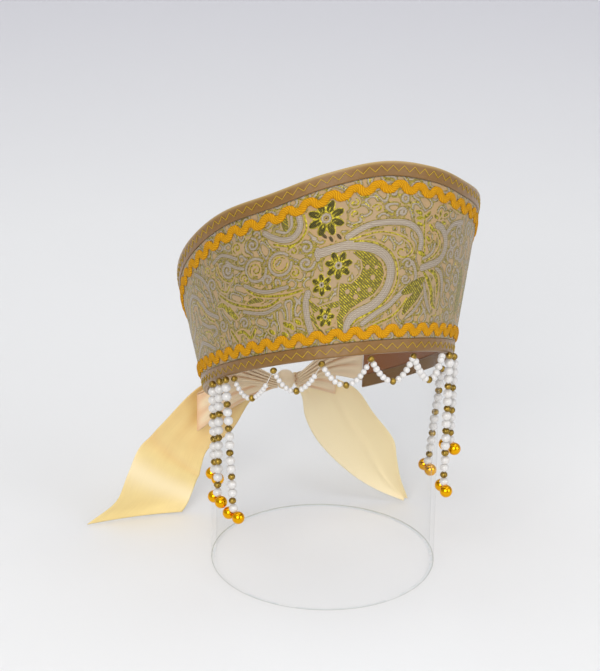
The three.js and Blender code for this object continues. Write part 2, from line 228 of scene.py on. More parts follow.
# The stage: how far the flat floor reaches, how it bends up and how high it ends, in metres
FLOOR_HOLE = 0.05
FLOOR_REACH = 3.0
FLOOR_BEND = 1.1
FLOOR_TOP = 3.4
FLOOR_STEPS = 40
FLOOR_SIDES = 96

# Lamps: name, place, width in metres, power in watts, colour
LAMPS = (
    ("key_lamp", (-1.3, -2.1, 1.6), 1.6, 42, (1, 0.985, 0.96)),
    ("fill_lamp", (1.7, -1.9, 1.2), 1.8, 20, (0.96, 0.98, 1)),
    ("top_lamp", (0.1, 0.1, 2.5), 2.2, 13, (1, 1, 1)),
)
LAMP_TARGET = Vector((0, 0, 0.15))
AIR_COLOUR = (0.95, 0.97, 1, 1)
AIR_STRENGTH = 0.72

# The photograph's view
CAMERA_PLACE = np.array((-606.8, -1811.8, 1031.4)) * MM
CAMERA_TARGET = np.array((-16.36, 5.32, 159.89)) * MM
CAMERA_ROLL = math.radians(0.94)
CAMERA_LENS = 175.7
CAMERA_SENSOR = 36

# Brocade: strokes as (thread, width, points), with points as (along the band, above its lower edge)
STROKES = (
    ("silver", 5.2, ((-38.6, 63.3), (-29.5, 65), (-20.5, 66.5), (-11.4, 65), (-3.2, 62.4), (3.2, 57.8),
                     (6.4, 52.4), (6.8, 46), (5, 39.6), (0.5, 33.3), (-5.9, 28.7), (-13.2, 26),
                     (-18.6, 23.3), (-21.4, 18.7), (-22.3, 12))),
    ("lurex", 1.2, ((-16.8, 68.4), (-8.6, 67.9), (-0.5, 65.2), (6.8, 59.7), (10.9, 51.5), (11.4, 42.4),
                   (6.8, 34.2), (-0.5, 27.8), (-9.5, 23.7), (-15.9, 21), (-19.5, 17.4))),
    ("silver", 4, ((-46.8, 40.5), (-48.6, 35), (-48.6, 28.7), (-47.7, 22.4), (-45, 12))),
    ("silver", 2.4, ((-39, 66), (-39, 60))),
    ("silver", 3.5, ((-20.5, 71.5), (-13.2, 75.4), (-5.9, 77.9), (0, 78.4), (6.8, 78.4), (15, 77.6),
                     (19.5, 76), (24, 73), (26.8, 69.3), (27.7, 65.6), (27.3, 62))),
    ("lurex", 1.1, ((-19.5, 69.7), (-11.4, 71.4), (-5, 72.6), (2.3, 72.6), (10.5, 70.6), (15.9, 68),
                   (20, 64.7), (21.4, 61.5), (19.5, 58.4), (15.9, 57), (12.3, 57.9), (10.9, 60.2),
                   (12.7, 62), (15, 61))),
    ("silver", 3, ((-11.4, 18.7), (-2.3, 24.2), (6.8, 28.7), (12.3, 33.3), (19.5, 38.7))),
    ("lurex", 1.3, ((-9.5, 15), (0.5, 18.7), (8.6, 21.5), (15.9, 27), (20, 32.4))),
    ("silver", 2, ((22.3, 53.8), (25, 48.4), (25.5, 43), (21.4, 39.3), (12.3, 33), (5, 27.5))),
    ("lurex", 1.2, ((28.6, 82), (29.5, 69.3), (31.4, 60.2))),
    ("silver", 4, ((40, 76), (44, 74.7), (48.2, 71), (50.5, 66.5), (50.5, 61), (47.7, 56.5),
                   (43.2, 53.8), (36.8, 52), (30.5, 50.2))),
    ("lurex", 1.2, ((37.5, 73.5), (41.5, 71), (44.5, 66), (43.5, 61.2), (39, 57), (33.5, 54.4))),
    ("silver", 1.6, ((39.7, 64.7), (38.4, 60.3), (34.8, 57.6), (30.4, 55.8))),
    ("lurex", 1.2, ((48.6, 89.3), (56, 86.5), (63, 84.7), (73.2, 83.8))),
    ("silver", 3, ((51, 72), (56, 76.5), (63.2, 78.4), (69, 79))),
    ("silver", 2.2, ((68.6, 60.2), (74, 56), (79, 57.5), (82, 61))),
    ("silver", 3.4, ((-49.5, 88.7), (-48.6, 81.5), (-52.3, 76), (-58.6, 74.2), (-66.8, 77),
                     (-72.3, 80.5))),
    ("silver", 1.6, ((-53.8, 87.8), (-54.2, 82), (-58, 78.8), (-64, 80.6))),
    ("lurex", 1.3, ((-46, 87.8), (-45, 79.6), (-49.5, 72.7), (-56.8, 70.5), (-66.8, 72.8))),
    ("lurex", 1.2, ((-116.8, 68.6), (-115.5, 62.3), (-110.5, 57.7), (-105, 56.4), (-102.3, 58.6))),
    ("silver", 2, ((-120, 70), (-110.5, 73.2), (-103.2, 71.4), (-96.8, 68.6))),
    ("lurex", 1.2, ((-120.5, 58.6), (-117.7, 53.2), (-111.4, 50.5), (-107.7, 53.2))),
    ("silver", 1.8, ((-106, 68.6), (-99.5, 64), (-92.3, 61.8))),
    ("lurex", 1.6, ((-119.5, 49.5), (-110.5, 44), (-101.4, 40.5), (-92.3, 38.2))),
    ("lurex", 1.5, ((-92.3, 38.2), (-83.2, 36.4), (-74, 36.8), (-67.3, 39.5))),
    ("silver", 2, ((-97.7, 36), (-87.7, 33.6), (-77.7, 32.8), (-66.8, 36))),
    ("lurex", 1.4, ((-92.3, 49), (-85, 44.5), (-77.7, 42.7), (-70.5, 41.8), (-60.5, 41.4),
                   (-50.5, 42.8))),
    ("silver", 2.2, ((-93.2, 51.5), (-83, 46.7), (-74, 45), (-60.5, 46))),
    ("silver", 2.6, ((-159.5, 56), (-151.4, 53.2), (-145, 47.7), (-139.5, 42.3), (-126.8, 36.8))),
    ("silver", 2.4, ((-150.5, 60.5), (-143.2, 56.8), (-137.7, 51.4), (-135.9, 45.9))),
    ("silver", 2.4, ((-146.8, 67.7), (-137.7, 63.2), (-131.4, 55.9), (-129.5, 47.7))),
    ("silver", 2.2, ((-151.4, 36.8), (-142.3, 33.2), (-133.2, 31.4), (-131.4, 28.6), (-137.7, 26.4))),
    ("silver", 2.4, ((-161.4, 25.9), (-151.4, 23.2), (-139.5, 18.6))),
    ("lurex", 1.4, ((-153, 51), (-147, 45), (-140, 38), (-133, 35))),
    ("lurex", 1.3, ((-147, 60), (-141, 54), (-138, 47))),
    ("lurex", 1.4, ((-150, 31), (-142, 29.5), (-137, 23))),
    ("lurex", 1.8, ((-111.4, 40.5), (-105, 33.2))),
    ("lurex", 2, ((-114, 26), (-108.6, 18.6))),
    ("lurex", 2.2, ((-106.8, 24), (-101.4, 24), (-95, 19.5), (-89.5, 24))),
)

# Leaves and petals that taper to both ends: (thread, width, points)
LEAVES = (
    ("lurex", 2.4, ((21.4, 84.7), (26.8, 82.5))),
    ("lurex", 2.4, ((22.3, 80.2), (27.7, 80.2))),
    ("lurex", 2.4, ((32.9, 83.9), (29.5, 80.6))),
    ("lurex", 2.2, ((23, 77.5), (27.7, 75.6))),
    ("lurex", 2.6, ((33, 76.6), (37.4, 72))),
    ("lurex", 2.4, ((31.4, 69.3), (35, 66))),
    ("lurex", 3, ((26, 60), (32, 57.5))),
    ("lurex", 2.2, ((36, 82), (40.5, 79.7))),
    ("lurex", 2.2, ((42.3, 85), (41.4, 81))),
    ("lurex", 2.2, ((44.5, 81.5), (49.5, 83.2))),
    ("lurex", 2.2, ((43.5, 78), (48.6, 77))),
    ("lurex", 3.2, ((31.4, 48.4), (36.8, 43), (41.4, 36.5), (44, 28.4), (48.6, 25.6))),
    ("lurex", 3, ((36, 48.8), (42.4, 47), (47, 41), (48, 33))),
    ("silver", 3, ((42.4, 50.3), (48.8, 47.5), (52.5, 41), (53.8, 32))),
    ("silver", 2.6, ((33, 42), (36, 33.8), (38.6, 28.4), (43, 22.6))),
    ("hatch", 6.5, ((33.2, 44), (25, 39.3), (16, 35.5))),
    ("hatch", 6, ((32.6, 38.5), (26.7, 33), (21.4, 28.4), (17.7, 23))),
    ("silver", 2, ((34, 33.8), (27.7, 25.6), (18.6, 19.3))),
    ("hatch", 12, ((82, 24), (84.5, 37), (81.5, 51))),
    ("hatch", 4.5, ((-58, 79.5), (-58.5, 90))),
    ("hatch", 3.2, ((-94, 40.5), (-86, 41.4), (-79.5, 40.5))),
    ("lurex", 3.4, ((-125, 43.2), (-118, 43), (-113.2, 38.6), (-106.8, 32.3))),
    ("lurex", 3, ((-66, 25), (-62, 22))),
    ("lurex", 3, ((-62, 24), (-58.5, 20))),
    ("lurex", 3, ((-57, 25.5), (-53, 22.5))),
    ("lurex", 2.8, ((-68, 19), (-63.5, 16.5))),
    ("lurex", 2.8, ((-78, 22), (-73.5, 19))),
    ("dark", 2, ((-36, 75), (-33, 72))),
    ("dark", 2, ((-31.5, 73), (-29.5, 69.5))),
    ("dark", 2, ((-27, 74), (-24.5, 70.5))),
)

# Curls: (thread, width, middle, radius, turns, where it starts in degrees)
CURLS = (
    ("silver", 1.3, (18.6, 53), 3.4, 1.4, 20), ("silver", 1.3, (17.7, 44), 3, 1.4, 200),
    ("silver", 1.7, (66, 73.8), 4.2, 1.5, 90), ("silver", 1.7, (59.5, 66.5), 4.2, 1.4, 200),
    ("silver", 1.6, (71.5, 68.3), 3.2, 1.3, 0), ("silver", 1.7, (58.8, 59), 4.2, 1.5, 60),
    ("silver", 1.8, (68, 60.2), 4.6, 1.4, 270), ("silver", 1.6, (59.5, 50), 4, 1.4, 140),
    ("silver", 1.9, (83, 75.6), 5.6, 1.6, 0), ("silver", 1.6, (84, 66), 3.4, 1.3, 120),
    ("silver", 1.9, (72.3, 44.8), 5.6, 1.6, 240), ("silver", 1.6, (59.6, 39.3), 4, 1.4, 330),
    ("silver", 1.6, (71.4, 31.2), 4.4, 1.4, 100), ("silver", 1.6, (65.8, 21), 4, 1.5, 10),
    ("lurex", 1, (-16.8, 91.5), 2.6, 1.2, 0), ("lurex", 1, (-16, 85), 2.4, 1.2, 180),
    ("lurex", 1, (-3.2, 87), 2.8, 1.2, 90), ("silver", 1.4, (12.3, 84), 3.2, 1.6, 0),
    ("silver", 1.6, (-64, 60.5), 6.8, 1, 0), ("lurex", 1, (-64, 60.5), 4.2, 1, 0),
    ("lurex", 1.1, (-54.5, 67), 3, 1.2, 90), ("silver", 1.4, (-46, 68), 3.8, 1.3, 0),
    ("silver", 1.5, (-46.5, 58.6), 4.6, 1.5, 180), ("lurex", 1.1, (-54.5, 54), 3, 1.2, 0),
    ("silver", 1.6, (-82.3, 59.5), 7, 1, 0), ("lurex", 1, (-82.3, 59.5), 4.4, 1.6, 0),
    ("silver", 1.4, (-82.3, 75), 4, 1.5, 270), ("lurex", 1.1, (-92, 55.5), 3.2, 1.3, 60),
    ("silver", 1.7, (-106.8, 63.3), 5, 1.8, 30), ("lurex", 1.1, (-95, 75), 3.4, 1.4, 90),
    ("silver", 1.5, (-126, 57), 4.6, 1.6, 0), ("lurex", 1.1, (-128, 66), 3.2, 1.3, 90),
    ("silver", 1.5, (-122, 31), 4.2, 1.5, 180), ("lurex", 1.1, (-128, 21), 3.4, 1.3, 0),
    ("silver", 1.5, (-74, 52), 3.4, 1.4, 60), ("silver", 1.4, (-99, 29), 3.6, 1.4, 10),
)

# Hatched areas as closed outlines
HATCHED = (
    ((-18.6, 62.4), (-11.4, 62.4), (-5, 59.6), (0.5, 54.2), (2.3, 47.8), (0.5, 41.5), (-4.1, 36),
     (-11.4, 32.4), (-18.6, 28.7), (-24.1, 23.3), (-24.5, 14.5), (-27.7, 14.5), (-28.6, 24.2),
     (-25.9, 28.7), (-26.8, 36.9), (-25.9, 44.2), (-18.6, 43.3), (-13.2, 47.8), (-11.4, 52.4),
     (-12.3, 56.9)),
    ((-47.3, 38), (-40.5, 31.5), (-27, 34), (-27, 30), (-40, 29.5), (-46.8, 26.9), (-44, 21.5),
     (-39.5, 14.5), (-36.5, 14.5), (-41.4, 20.5)),
)

# Spots of bare ground in the hatched areas: (middle, radius)
SPOTS = (((-8.6, 52.4), 1.5), ((-5, 46), 1.6), ((-6.8, 38.7), 1.5), ((-15.9, 35.2), 1.6),
         ((-21.2, 38.8), 1.5), ((-3, 52), 1.2), ((-14, 39.5), 1.2))

# Flowers: (middle, petals, radius of the petals' roots, radius of their tips, where the first one points)
FLOWERS = (
    ((-33, 84), 8, 3.9, 10.4, 22),
    ((-26.5, 55), 7, 2.9, 8, 10),
    ((-37.5, 44.5), 6, 2.3, 6.1, 30),
    ((-36, 25), 6, 2.1, 5.6, 0),
)

# A flower's bare edge, its petals' width as a share of their room, the metallic edge and the vein in a
# petal, and the ring and the eye in its middle
FLOWER_CLEARANCE = 0.6
PETAL_FILL = 0.925
PETAL_EDGE = 1.3
VEIN_WIDTH = 0.8
RING_SHARE = 0.62
RING_WIDTH = 1.3
EYE_WIDTH = 1.4

# Small scrolls between the motifs: the waves that are added up, their shortest and longest length, and
# the lines that are drawn where the sum has a level: (thread, level, width)
SCROLL_SEED = 7
SCROLL_WAVES = 9
SCROLL_LENGTHS = (7.5, 16)
SCROLL_LINES = (("silver", 1.2, 1.2), ("silver", -1.7, 1.2), ("lurex", 0.55, 0.55), ("lurex", -1.05, 0.55))

# How far the scrolls stay off the motifs, and a slope that keeps them thin where the sum is nearly level
SCROLL_CLEARANCE = 1.5
SCROLL_STEADY = 0.12

# How far each kind of thread stands out, as a share of the relief, and the width of its sloping side
THREAD_RISE = (("silver", 1), ("lurex", 0.8), ("dark", 0.8), ("hatch", 0.4))
THREAD_SLOPE = 0.5

# Distances from a thread, in millimetres: one that counts as far away, and how far round it is measured
FAR = 9.0
MEASURED = 4

# Strokes: steps between two points, and the part of a half wave that a tapered one's width follows
STROKE_STEPS = 6
TAPER = (0.02, 0.98)

# Curls: steps in a turn, where one starts as a share of its radius, and its width against its height
CURL_STEPS = 14
CURL_START = 0.12
CURL_STRETCH = 1.15

# Lengths of the repeats in the brocade's weave, in millimetres
GROUND_TWILL = 0.9
GROUND_CHECK = 0.55
SILVER_RIBS = 1.15
SILVER_ROWS = 1.05
HATCH_PITCH = 1.9
DARK_TWILL = 1.3

# The flat cloth's unit in its UV map, in metres, and the same in millimetres
CLOTH_UNIT = 0.1
CLOTH_UNIT_MM = 100.0

# A finish's name ends so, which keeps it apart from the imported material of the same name
FINISH_ENDING = "_finish"

# The pattern repeats as its mirror image past these places along the band
MIRROR_LEFT = -160
MIRROR_RIGHT = 95


def colour_of(code):
    """A screen colour such as 0xB5A48A as the linear colour that a shader reads."""
    channels = [(code >> shift & 255) / 255 for shift in (16, 8, 0)]
    return tuple(c / 12.92 if c <= 0.04045 else ((c + 0.055) / 1.055) ** 2.4 for c in channels)


def scaled(tint, *factors):
    """A colour with its channels multiplied, by one factor or by one for each channel."""
    if len(factors) == 1:
        factors = factors * 3
    return tuple(min(1, channel * factor) for channel, factor in zip(tint, factors))


def size(name, description, default, low, high):
    """A length that a user can set."""
    return FloatProperty(name=name, description=description, default=default, min=low, max=high,
                         unit="LENGTH", precision=4)


def colour(name, description, code):
    """A colour that a user can set, from its screen code."""
    return FloatVectorProperty(name=name, description=description, default=colour_of(code), min=0,
                               max=1, size=3, subtype="COLOR")


class KokoshnikSizes(bpy.types.PropertyGroup):
    """Sizes of the trimmings that a maker would change."""

    relief: size("Brocade relief", "How far the raised threads stand out of the ground", 0.22 * MM,
                 0, 0.5 * MM)
    braid_width: size("Braid width", "Width of the waved braid", 5.1 * MM, 3 * MM, 6 * MM)
    braid_wave: size("Braid wave", "How far the braid swings to each side", 1.9 * MM, 1 * MM, 3 * MM)
    braid_thick: size("Braid thickness", "How far the braid stands out of the brocade", 1.35 * MM,
                      0.8 * MM, 2 * MM)
    stitch_pitch: size("Stitch pitch", "Length of one whole zigzag of the stitching", 7.6 * MM,
                       4 * MM, 12 * MM)
    stitch_reach: size("Stitch reach", "How far the zigzag swings to each side", 1.7 * MM, 1 * MM,
                       3 * MM)
    stitch_thread: size("Stitch thread", "Thickness of the stitching thread", 0.55 * MM, 0.3 * MM,
                        1 * MM)
    string_thread: size("Bead thread", "Thickness of the thread through the beads", 0.7 * MM,
                        0.3 * MM, 1.5 * MM)
    tube_wall: size("Tube wall", "Wall of the clear tube", 3 * MM, 2 * MM, 5 * MM)


class KokoshnikColours(bpy.types.PropertyGroup):
    """Colours of the cloth, the threads and the beads."""

    ground: colour("Brocade ground", "Warm beige ground of the brocade", 0xAE966D)
    silver: colour("Silver thread", "Raised silver-lilac threads", 0xADA08E)
    lurex: colour("Metallic thread", "Yellow-green metallic threads", 0xB4A42A)
    dark: colour("Dark thread", "Dark olive threads", 0x2A260A)
    binding: colour("Binding satin", "Golden brown satin", 0x835C1F)
    lining: colour("Lining satin", "Dark brown satin", 0x96591E)
    braid: colour("Braid", "Warm yellow braid", 0xDDA110)
    stitch: colour("Stitches", "Yellow stitching thread", 0xD6B02A)
    ribbon: colour("Ribbon satin", "Pale gold satin ribbon", 0xFFDE96)
    # Painted light: the bow is the ribbon's own satin, tinted warmer for the light that the brown lining
    # reflects on it and paler to lift the shade it sits in
    bow: colour("Bow satin", "The same ribbon, warmer where it is bunched in the bow", 0xFFE0B8)
    pearl: colour("Pearls", "White pearls", 0xDAD8D4)
    spacer: colour("Spacers", "Antique gold spacers", 0xA98A3C)
    ball: colour("End balls", "Shiny gold balls", 0xF2AE04)
    bead_thread: colour("Bead thread", "Off-white thread through the beads", 0xE9E4DA)
    acrylic: colour("Clear tube", "Grey of the clear tube where it turns away", 0xC2C6C6)
    rim: colour("Tube rims", "Greener grey along the tube's two rims", 0xA8AA88)
    floor: colour("Floor", "Pale studio floor", 0xEAEAE9)
    # The backdrop colour is darker and cooler than the floor's: painted shade for the lamps' light falling
    # off far from the object
    wall: colour("Backdrop", "Pale studio backdrop", 0xD8D7DC)


class Value:
    """A number in a node tree: arithmetic on it adds Math nodes to that tree."""

    def __init__(self, graph, socket):
        self.graph = graph
        self.socket = socket

    def __add__(self, other):
        return self.graph.math("ADD", self, other)

    def __sub__(self, other):
        return self.graph.math("SUBTRACT", self, other)

    def __rsub__(self, other):
        return self.graph.math("SUBTRACT", other, self)

    def __mul__(self, other):
        return self.graph.math("MULTIPLY", self, other)

    def __truediv__(self, other):
        return self.graph.math("DIVIDE", self, other)

    __radd__ = __add__
    __rmul__ = __mul__

    def sine(self):
        """Its sine."""
        return self.graph.math("SINE", self)

    def clamped(self):
        """The number kept between 0 and 1."""
        return self.graph.math("ADD", self, 0, clamp=True)

    def inside(self, edge, soft):
        """1 where the number is under the edge, 0 over it, with a short slope between."""
        return ((edge - self) / soft + 0.5).clamped()


class Graph:
    """A node tree that is filled by code."""

    def __init__(self, tree):
        self.tree = tree

    def add(self, kind, settings=None, sockets=None, output=0):
        """Adds a node, sets its settings, then its sockets, and gives one of its outputs."""
        node = self.tree.nodes.new(kind)
        for name, setting in (settings or {}).items():
            setattr(node, name, setting)
        for name, value in (sockets or {}).items():
            self.feed(node.inputs[name], value)
        return Value(self, node.outputs[output]) if node.outputs else node

    def feed(self, socket, value):
        """Links a value to a socket, or sets a plain number, colour or text on it."""
        if isinstance(value, Value):
            self.tree.links.new(value.socket, socket)
        elif isinstance(value, tuple) and len(value) == 3 and socket.type == "RGBA":
            socket.default_value = (*value, 1)
        else:
            socket.default_value = value

    def math(self, operation, *values, clamp=False):
        """A Math node on values or numbers."""
        return self.add("ShaderNodeMath", {"operation": operation, "use_clamp": clamp},
                        dict(enumerate(values)))

    def mix(self, share, first, second):
        """A colour between two, by a share from 0 to 1."""
        return self.add("ShaderNodeMix", {"data_type": "RGBA"}, {0: share, 6: first, 7: second}, output=2)

    def noise(self, place, scale, detail=2, roughness=0.5):
        """Soft random shade over a place."""
        return self.add("ShaderNodeTexNoise", {}, {
            "Vector": place, "Scale": scale, "Detail": detail, "Roughness": roughness})

    def bump(self, height, strength, distance):
        """Fine relief from a height between 0 and about 1."""
        return self.add("ShaderNodeBump", {}, {
            "Height": height, "Strength": strength, "Distance": distance})

    def split(self, place):
        """The three numbers of a place."""
        node = self.add("ShaderNodeSeparateXYZ", {}, {0: place}).socket.node
        return [Value(self, output) for output in node.outputs]


class Finish(Graph):
    """A material that is made of one main surface shader."""

    def __init__(self, name):
        self.material = bpy.data.materials.new(name + FINISH_ENDING)
        self.material.use_nodes = True
        super().__init__(self.material.node_tree)
        self.tree.nodes.clear()

    def surface(self, **sockets):
        """Adds the surface shader, with its sockets named in lower case, and ends the tree."""
        named = {name.replace("_", " ").title().replace("Ior", "IOR"): value
                 for name, value in sockets.items()}
        shader = self.add("ShaderNodeBsdfPrincipled", {}, named)
        self.add("ShaderNodeOutputMaterial", {}, {"Surface": shader})
        return self.material

    def object_place(self):
        """The place on the object, in metres."""
        return self.add("ShaderNodeTexCoord", {}, output="Object")

    def cloth_place(self):
        """The place on the flat cloth, along it and across it, in millimetres."""
        place = self.add("ShaderNodeUVMap", {"uv_map": "cloth"})
        flat = self.add("ShaderNodeVectorMath", {"operation": "SCALE"}, {
            0: place, "Scale": CLOTH_UNIT_MM})
        along, across, _ = self.split(flat)
        return flat, along, across

    def attribute(self, name):
        """A number that the mesh stores on its points."""
        return self.add("ShaderNodeAttribute", {"attribute_name": name}, output="Fac")


def wave(value, length):
    """A wave from 0 to 1 with the given length."""
    return (value * (2 * math.pi / length)).sine() * 0.5 + 0.5


def brocade_finish(colours):
    """Brocade: a twill ground under raised threads, which are found by the distance to their outlines,
    with painted shade along the silver threads and painted glints on the metallic ones.
    """
    graph = Finish("brocade")
    flat, along, up = graph.cloth_place()
    cloud = graph.noise(flat, 0.035, detail=3)
    grain = graph.noise(flat, 1.1)
    glint = graph.noise(flat, 0.55, detail=3, roughness=0.7)
    twill = wave(along + up, GROUND_TWILL)
    ribs = wave(up + along * 0.06, SILVER_RIBS)

    to_silver = graph.attribute("silver")
    rows = wave(to_silver, SILVER_ROWS)
    is_silver = to_silver.inside(0, 0.35)
    # Painted shade: a dark line along each edge of the raised silver threads, for the shadow of their
    # relief
    outline = to_silver.inside(0.5, 0.3) - to_silver.inside(-0.15, 0.3)
    edging = (to_silver.inside(0.6, 0.25) - to_silver.inside(0.15, 0.25)) * glint.inside(0.54, 0.1)
    hatch_area = graph.attribute("hatch").inside(0, 0.35)
    is_hatch = hatch_area * wave(along + up, HATCH_PITCH).inside(0.5, 0.35)
    is_lurex = graph.math("MAXIMUM", graph.attribute("lurex").inside(0, 0.3), edging)
    is_dark = graph.attribute("dark").inside(0, 0.3) * (0.8 + wave(along - up, DARK_TWILL) * 0.2)

    warm = scaled(colours.ground, 1.14, 0.98, 0.84)
    pink = scaled(colours.ground, 1.02, 0.97, 1.04)
    ground = graph.mix(cloud.inside(0.5, 0.16), warm, pink)
    ground = graph.mix(twill * 0.25 + grain * 0.3, ground, scaled(colours.ground, 0.62))
    silver = graph.mix(ribs * 0.4 + rows * 0.45, tuple(colours.silver),
                       scaled(colours.silver, 0.56, 0.5, 0.42))
    # Painted glints: the metallic thread's colour swings between a bright and a dark copy by a noise, for
    # foil that catches the light or misses it
    lurex = graph.mix(glint.inside(0.53, 0.25), scaled(colours.lurex, 1.4), scaled(colours.lurex, 0.32))

    surface = graph.mix(is_silver, ground, silver)
    # The painted shade along the silver threads' edges
    surface = graph.mix(outline * 0.5, surface, scaled(colours.ground, 0.25))
    surface = graph.mix(hatch_area * 0.92, surface, scaled(colours.lurex, 0.2))
    surface = graph.mix(is_hatch, surface, lurex)
    surface = graph.mix(is_lurex, surface, lurex)
    surface = graph.mix(is_dark, surface, tuple(colours.dark))

    foil_share = graph.math("MAXIMUM", is_hatch, graph.math("MAXIMUM", is_lurex, is_dark))
    weave = wave(along, GROUND_CHECK) * wave(up, GROUND_CHECK)
    height = weave * 0.5 + is_silver * (0.7 + ribs * 0.4 - rows * 0.7) + foil_share * (0.5 + glint)
    return graph.surface(base_color=surface, roughness=0.62 - is_silver * 0.2 - foil_share * 0.28,
                         normal=graph.bump(height, 0.6, 0.25 * MM),
                         metallic=foil_share * 0.7 + is_silver * 0.25,
                         sheen_weight=0.15, sheen_roughness=0.4)


def satin_finish(name, tint, roughness, sheen=0.25):
    """Satin: fine threads along the cloth, lighter and darker by a soft noise, with painted shade in folds
    and painted highlights along edges where a piece stores them on its points.
    """
    graph = Finish(name)
    flat, along, up = graph.cloth_place()
    cloud = graph.noise(flat, 0.06, detail=3)
    stretched = graph.add("ShaderNodeCombineXYZ", {}, {"X": along * 0.05, "Y": up * 1.6})
    streaks = graph.noise(stretched, 1, detail=3)
    shade = graph.mix(cloud * 0.55 + streaks * 0.45, scaled(tint, 0.72), scaled(tint, 1.1))
    # Painted shade: a deeper, browner colour in pleats, creases and parts turned from the light, where the
    # mesh asks for it
    shade = graph.mix(graph.attribute("painted_shade").clamped() * 0.75, shade, scaled(tint, 0.72, 0.5, 0.34))
    # Painted highlight: a paler colour where the mesh asks for it
    shade = graph.mix(graph.attribute("painted_highlight").clamped(), shade, tuple(c ** 0.5 for c in tint))
    threads = wave(up, 0.35) * 0.4 + streaks * 0.16
    return graph.surface(base_color=shade, roughness=roughness + streaks * 0.12,
                         normal=graph.bump(threads + cloud * 1.2, 0.35, 0.2 * MM),
                         sheen_weight=sheen, sheen_roughness=0.35, specular_ior_level=0.6)


def braid_finish(tint):
    """Twisted cotton braid: slanting strands along it, with painted shade between them."""
    graph = Finish("yellow_braid")
    flat, along, across = graph.cloth_place()
    strands = wave(along + across * 0.9, 1.5)
    fibres = graph.noise(flat, 2.2, detail=3)
    # Painted shade in the grooves between the strands, mixed with the fibres' random tone
    shade = graph.mix(strands * 0.75 + fibres * 0.25, scaled(tint, 0.62, 0.52, 0.35), tuple(tint))
    normal = graph.bump(strands + fibres * 0.35, 0.8, 0.35 * MM)
    return graph.surface(base_color=shade, roughness=0.8, normal=normal, specular_ior_level=0.15)


def pearl_finish(tint):
    """Plastic pearl with a soft coat and a faint cloud in its white."""
    graph = Finish("white_pearl")
    cloud = graph.noise(graph.object_place(), 260)
    shade = graph.mix(cloud * 0.5, tuple(tint), scaled(tint, 0.9, 0.87, 0.85))
    return graph.surface(base_color=shade, roughness=0.28 + cloud * 0.08, coat_weight=0.5,
                         coat_roughness=0.15, specular_ior_level=0.7)


def metal_bead_finish(name, tint, roughness, wear):
    """Metal-coated plastic beads, with the coat worn by a share."""
    graph = Finish(name)
    spots = graph.noise(graph.object_place(), 420, detail=3)
    shade = graph.mix(spots.inside(0.44, 0.2) * wear, tuple(tint), scaled(tint, 0.4))
    normal = graph.bump(spots, 0.1 * wear, 0.1 * MM)
    return graph.surface(base_color=shade, metallic=0.92, roughness=roughness + spots * 0.1 * wear,
                         normal=normal)


def thread_finish(name, tint):
    """Twisted sewing thread, a little uneven in shade."""
    graph = Finish(name)
    fibres = graph.noise(graph.object_place(), 900)
    shade = graph.mix(fibres, tuple(tint), scaled(tint, 0.6))
    return graph.surface(base_color=shade, roughness=0.5, specular_ior_level=0.3)


def clear_finish(colours):
    """Clear acrylic: nearly unseen face on, greyer where it turns away and along its two rims."""
    graph = Finish("clear_acrylic")
    place = graph.object_place()
    smudges = graph.noise(place, 24, detail=3)
    centred = graph.add("ShaderNodeVectorMath", {"operation": "SUBTRACT"}, {0: place, 1: tuple(AXIS)})
    across, back, up = graph.split(centred)
    to_face = TUBE_OUTER - graph.math("SQRT", across * across + back * back)
    facing = graph.add("ShaderNodeLayerWeight", {}, {"Blend": 0.5}, output="Facing")
    turned = graph.math("POWER", facing, 9)
    ends = up.inside(TUBE_SOFT, 0.3 * MM) + (TUBE_HIGH - up).inside(TUBE_SOFT, 0.3 * MM)
    rims = ends * to_face.inside(0.7 * MM, 0.3 * MM)
    shade = graph.mix(rims, tuple(colours.acrylic), tuple(colours.rim))
    alpha = 0.008 + turned * 0.3 + rims * 0.28 + ends * 0.02
    return graph.surface(base_color=shade, roughness=0.04 + smudges * 0.04, alpha=alpha,
                         specular_ior_level=0.6)


def studio_finish(colours):
    """Pale paper, with painted shade that makes it a little darker and cooler far from the object, where
    the lamps' light falls off.
    """
    graph = Finish("studio_paper")
    place = graph.object_place()
    far = graph.add("ShaderNodeVectorMath", {"operation": "LENGTH"}, {0: place}, output="Value")
    # Painted shade: the paper turns from the floor colour to the darker backdrop colour between 0.6 and
    # 1.4 m from the object
    share = ((far - 0.6) / 0.8).clamped()
    grain = graph.noise(place, 300)
    shade = graph.mix(share, tuple(colours.floor), tuple(colours.wall))
    shade = graph.mix(grain * 0.02, shade, (0.5, 0.5, 0.5))
    return graph.surface(base_color=shade, roughness=0.85, specular_ior_level=0.2)


def finish(name):
    """A finish by name, made the first time that it is asked for."""
    made = bpy.data.materials.get(name + FINISH_ENDING)
    if made:
        return made
    colours = bpy.context.scene.kokoshnik_colours
    makers = {
        "brocade": lambda: brocade_finish(colours),
        "binding_satin": lambda: satin_finish("binding_satin", colours.binding, 0.34),
        "lining_satin": lambda: satin_finish("lining_satin", colours.lining, 0.3),
        "ribbon_satin": lambda: satin_finish("ribbon_satin", colours.ribbon, 0.3, sheen=0.35),
        "bow_satin": lambda: satin_finish("bow_satin", colours.bow, 0.32, sheen=0.35),
        "yellow_braid": lambda: braid_finish(colours.braid),
        "white_pearl": lambda: pearl_finish(colours.pearl),
        "antique_gold": lambda: metal_bead_finish("antique_gold", colours.spacer, 0.3, 1),
        "shiny_gold": lambda: metal_bead_finish("shiny_gold", colours.ball, 0.1, 0.15),
        "string_thread": lambda: thread_finish("string_thread", colours.bead_thread),
        "stitch_thread": lambda: thread_finish("stitch_thread", colours.stitch),
        "clear_acrylic": lambda: clear_finish(colours),
        "studio_paper": lambda: studio_finish(colours),
    }
    return makers[name]()


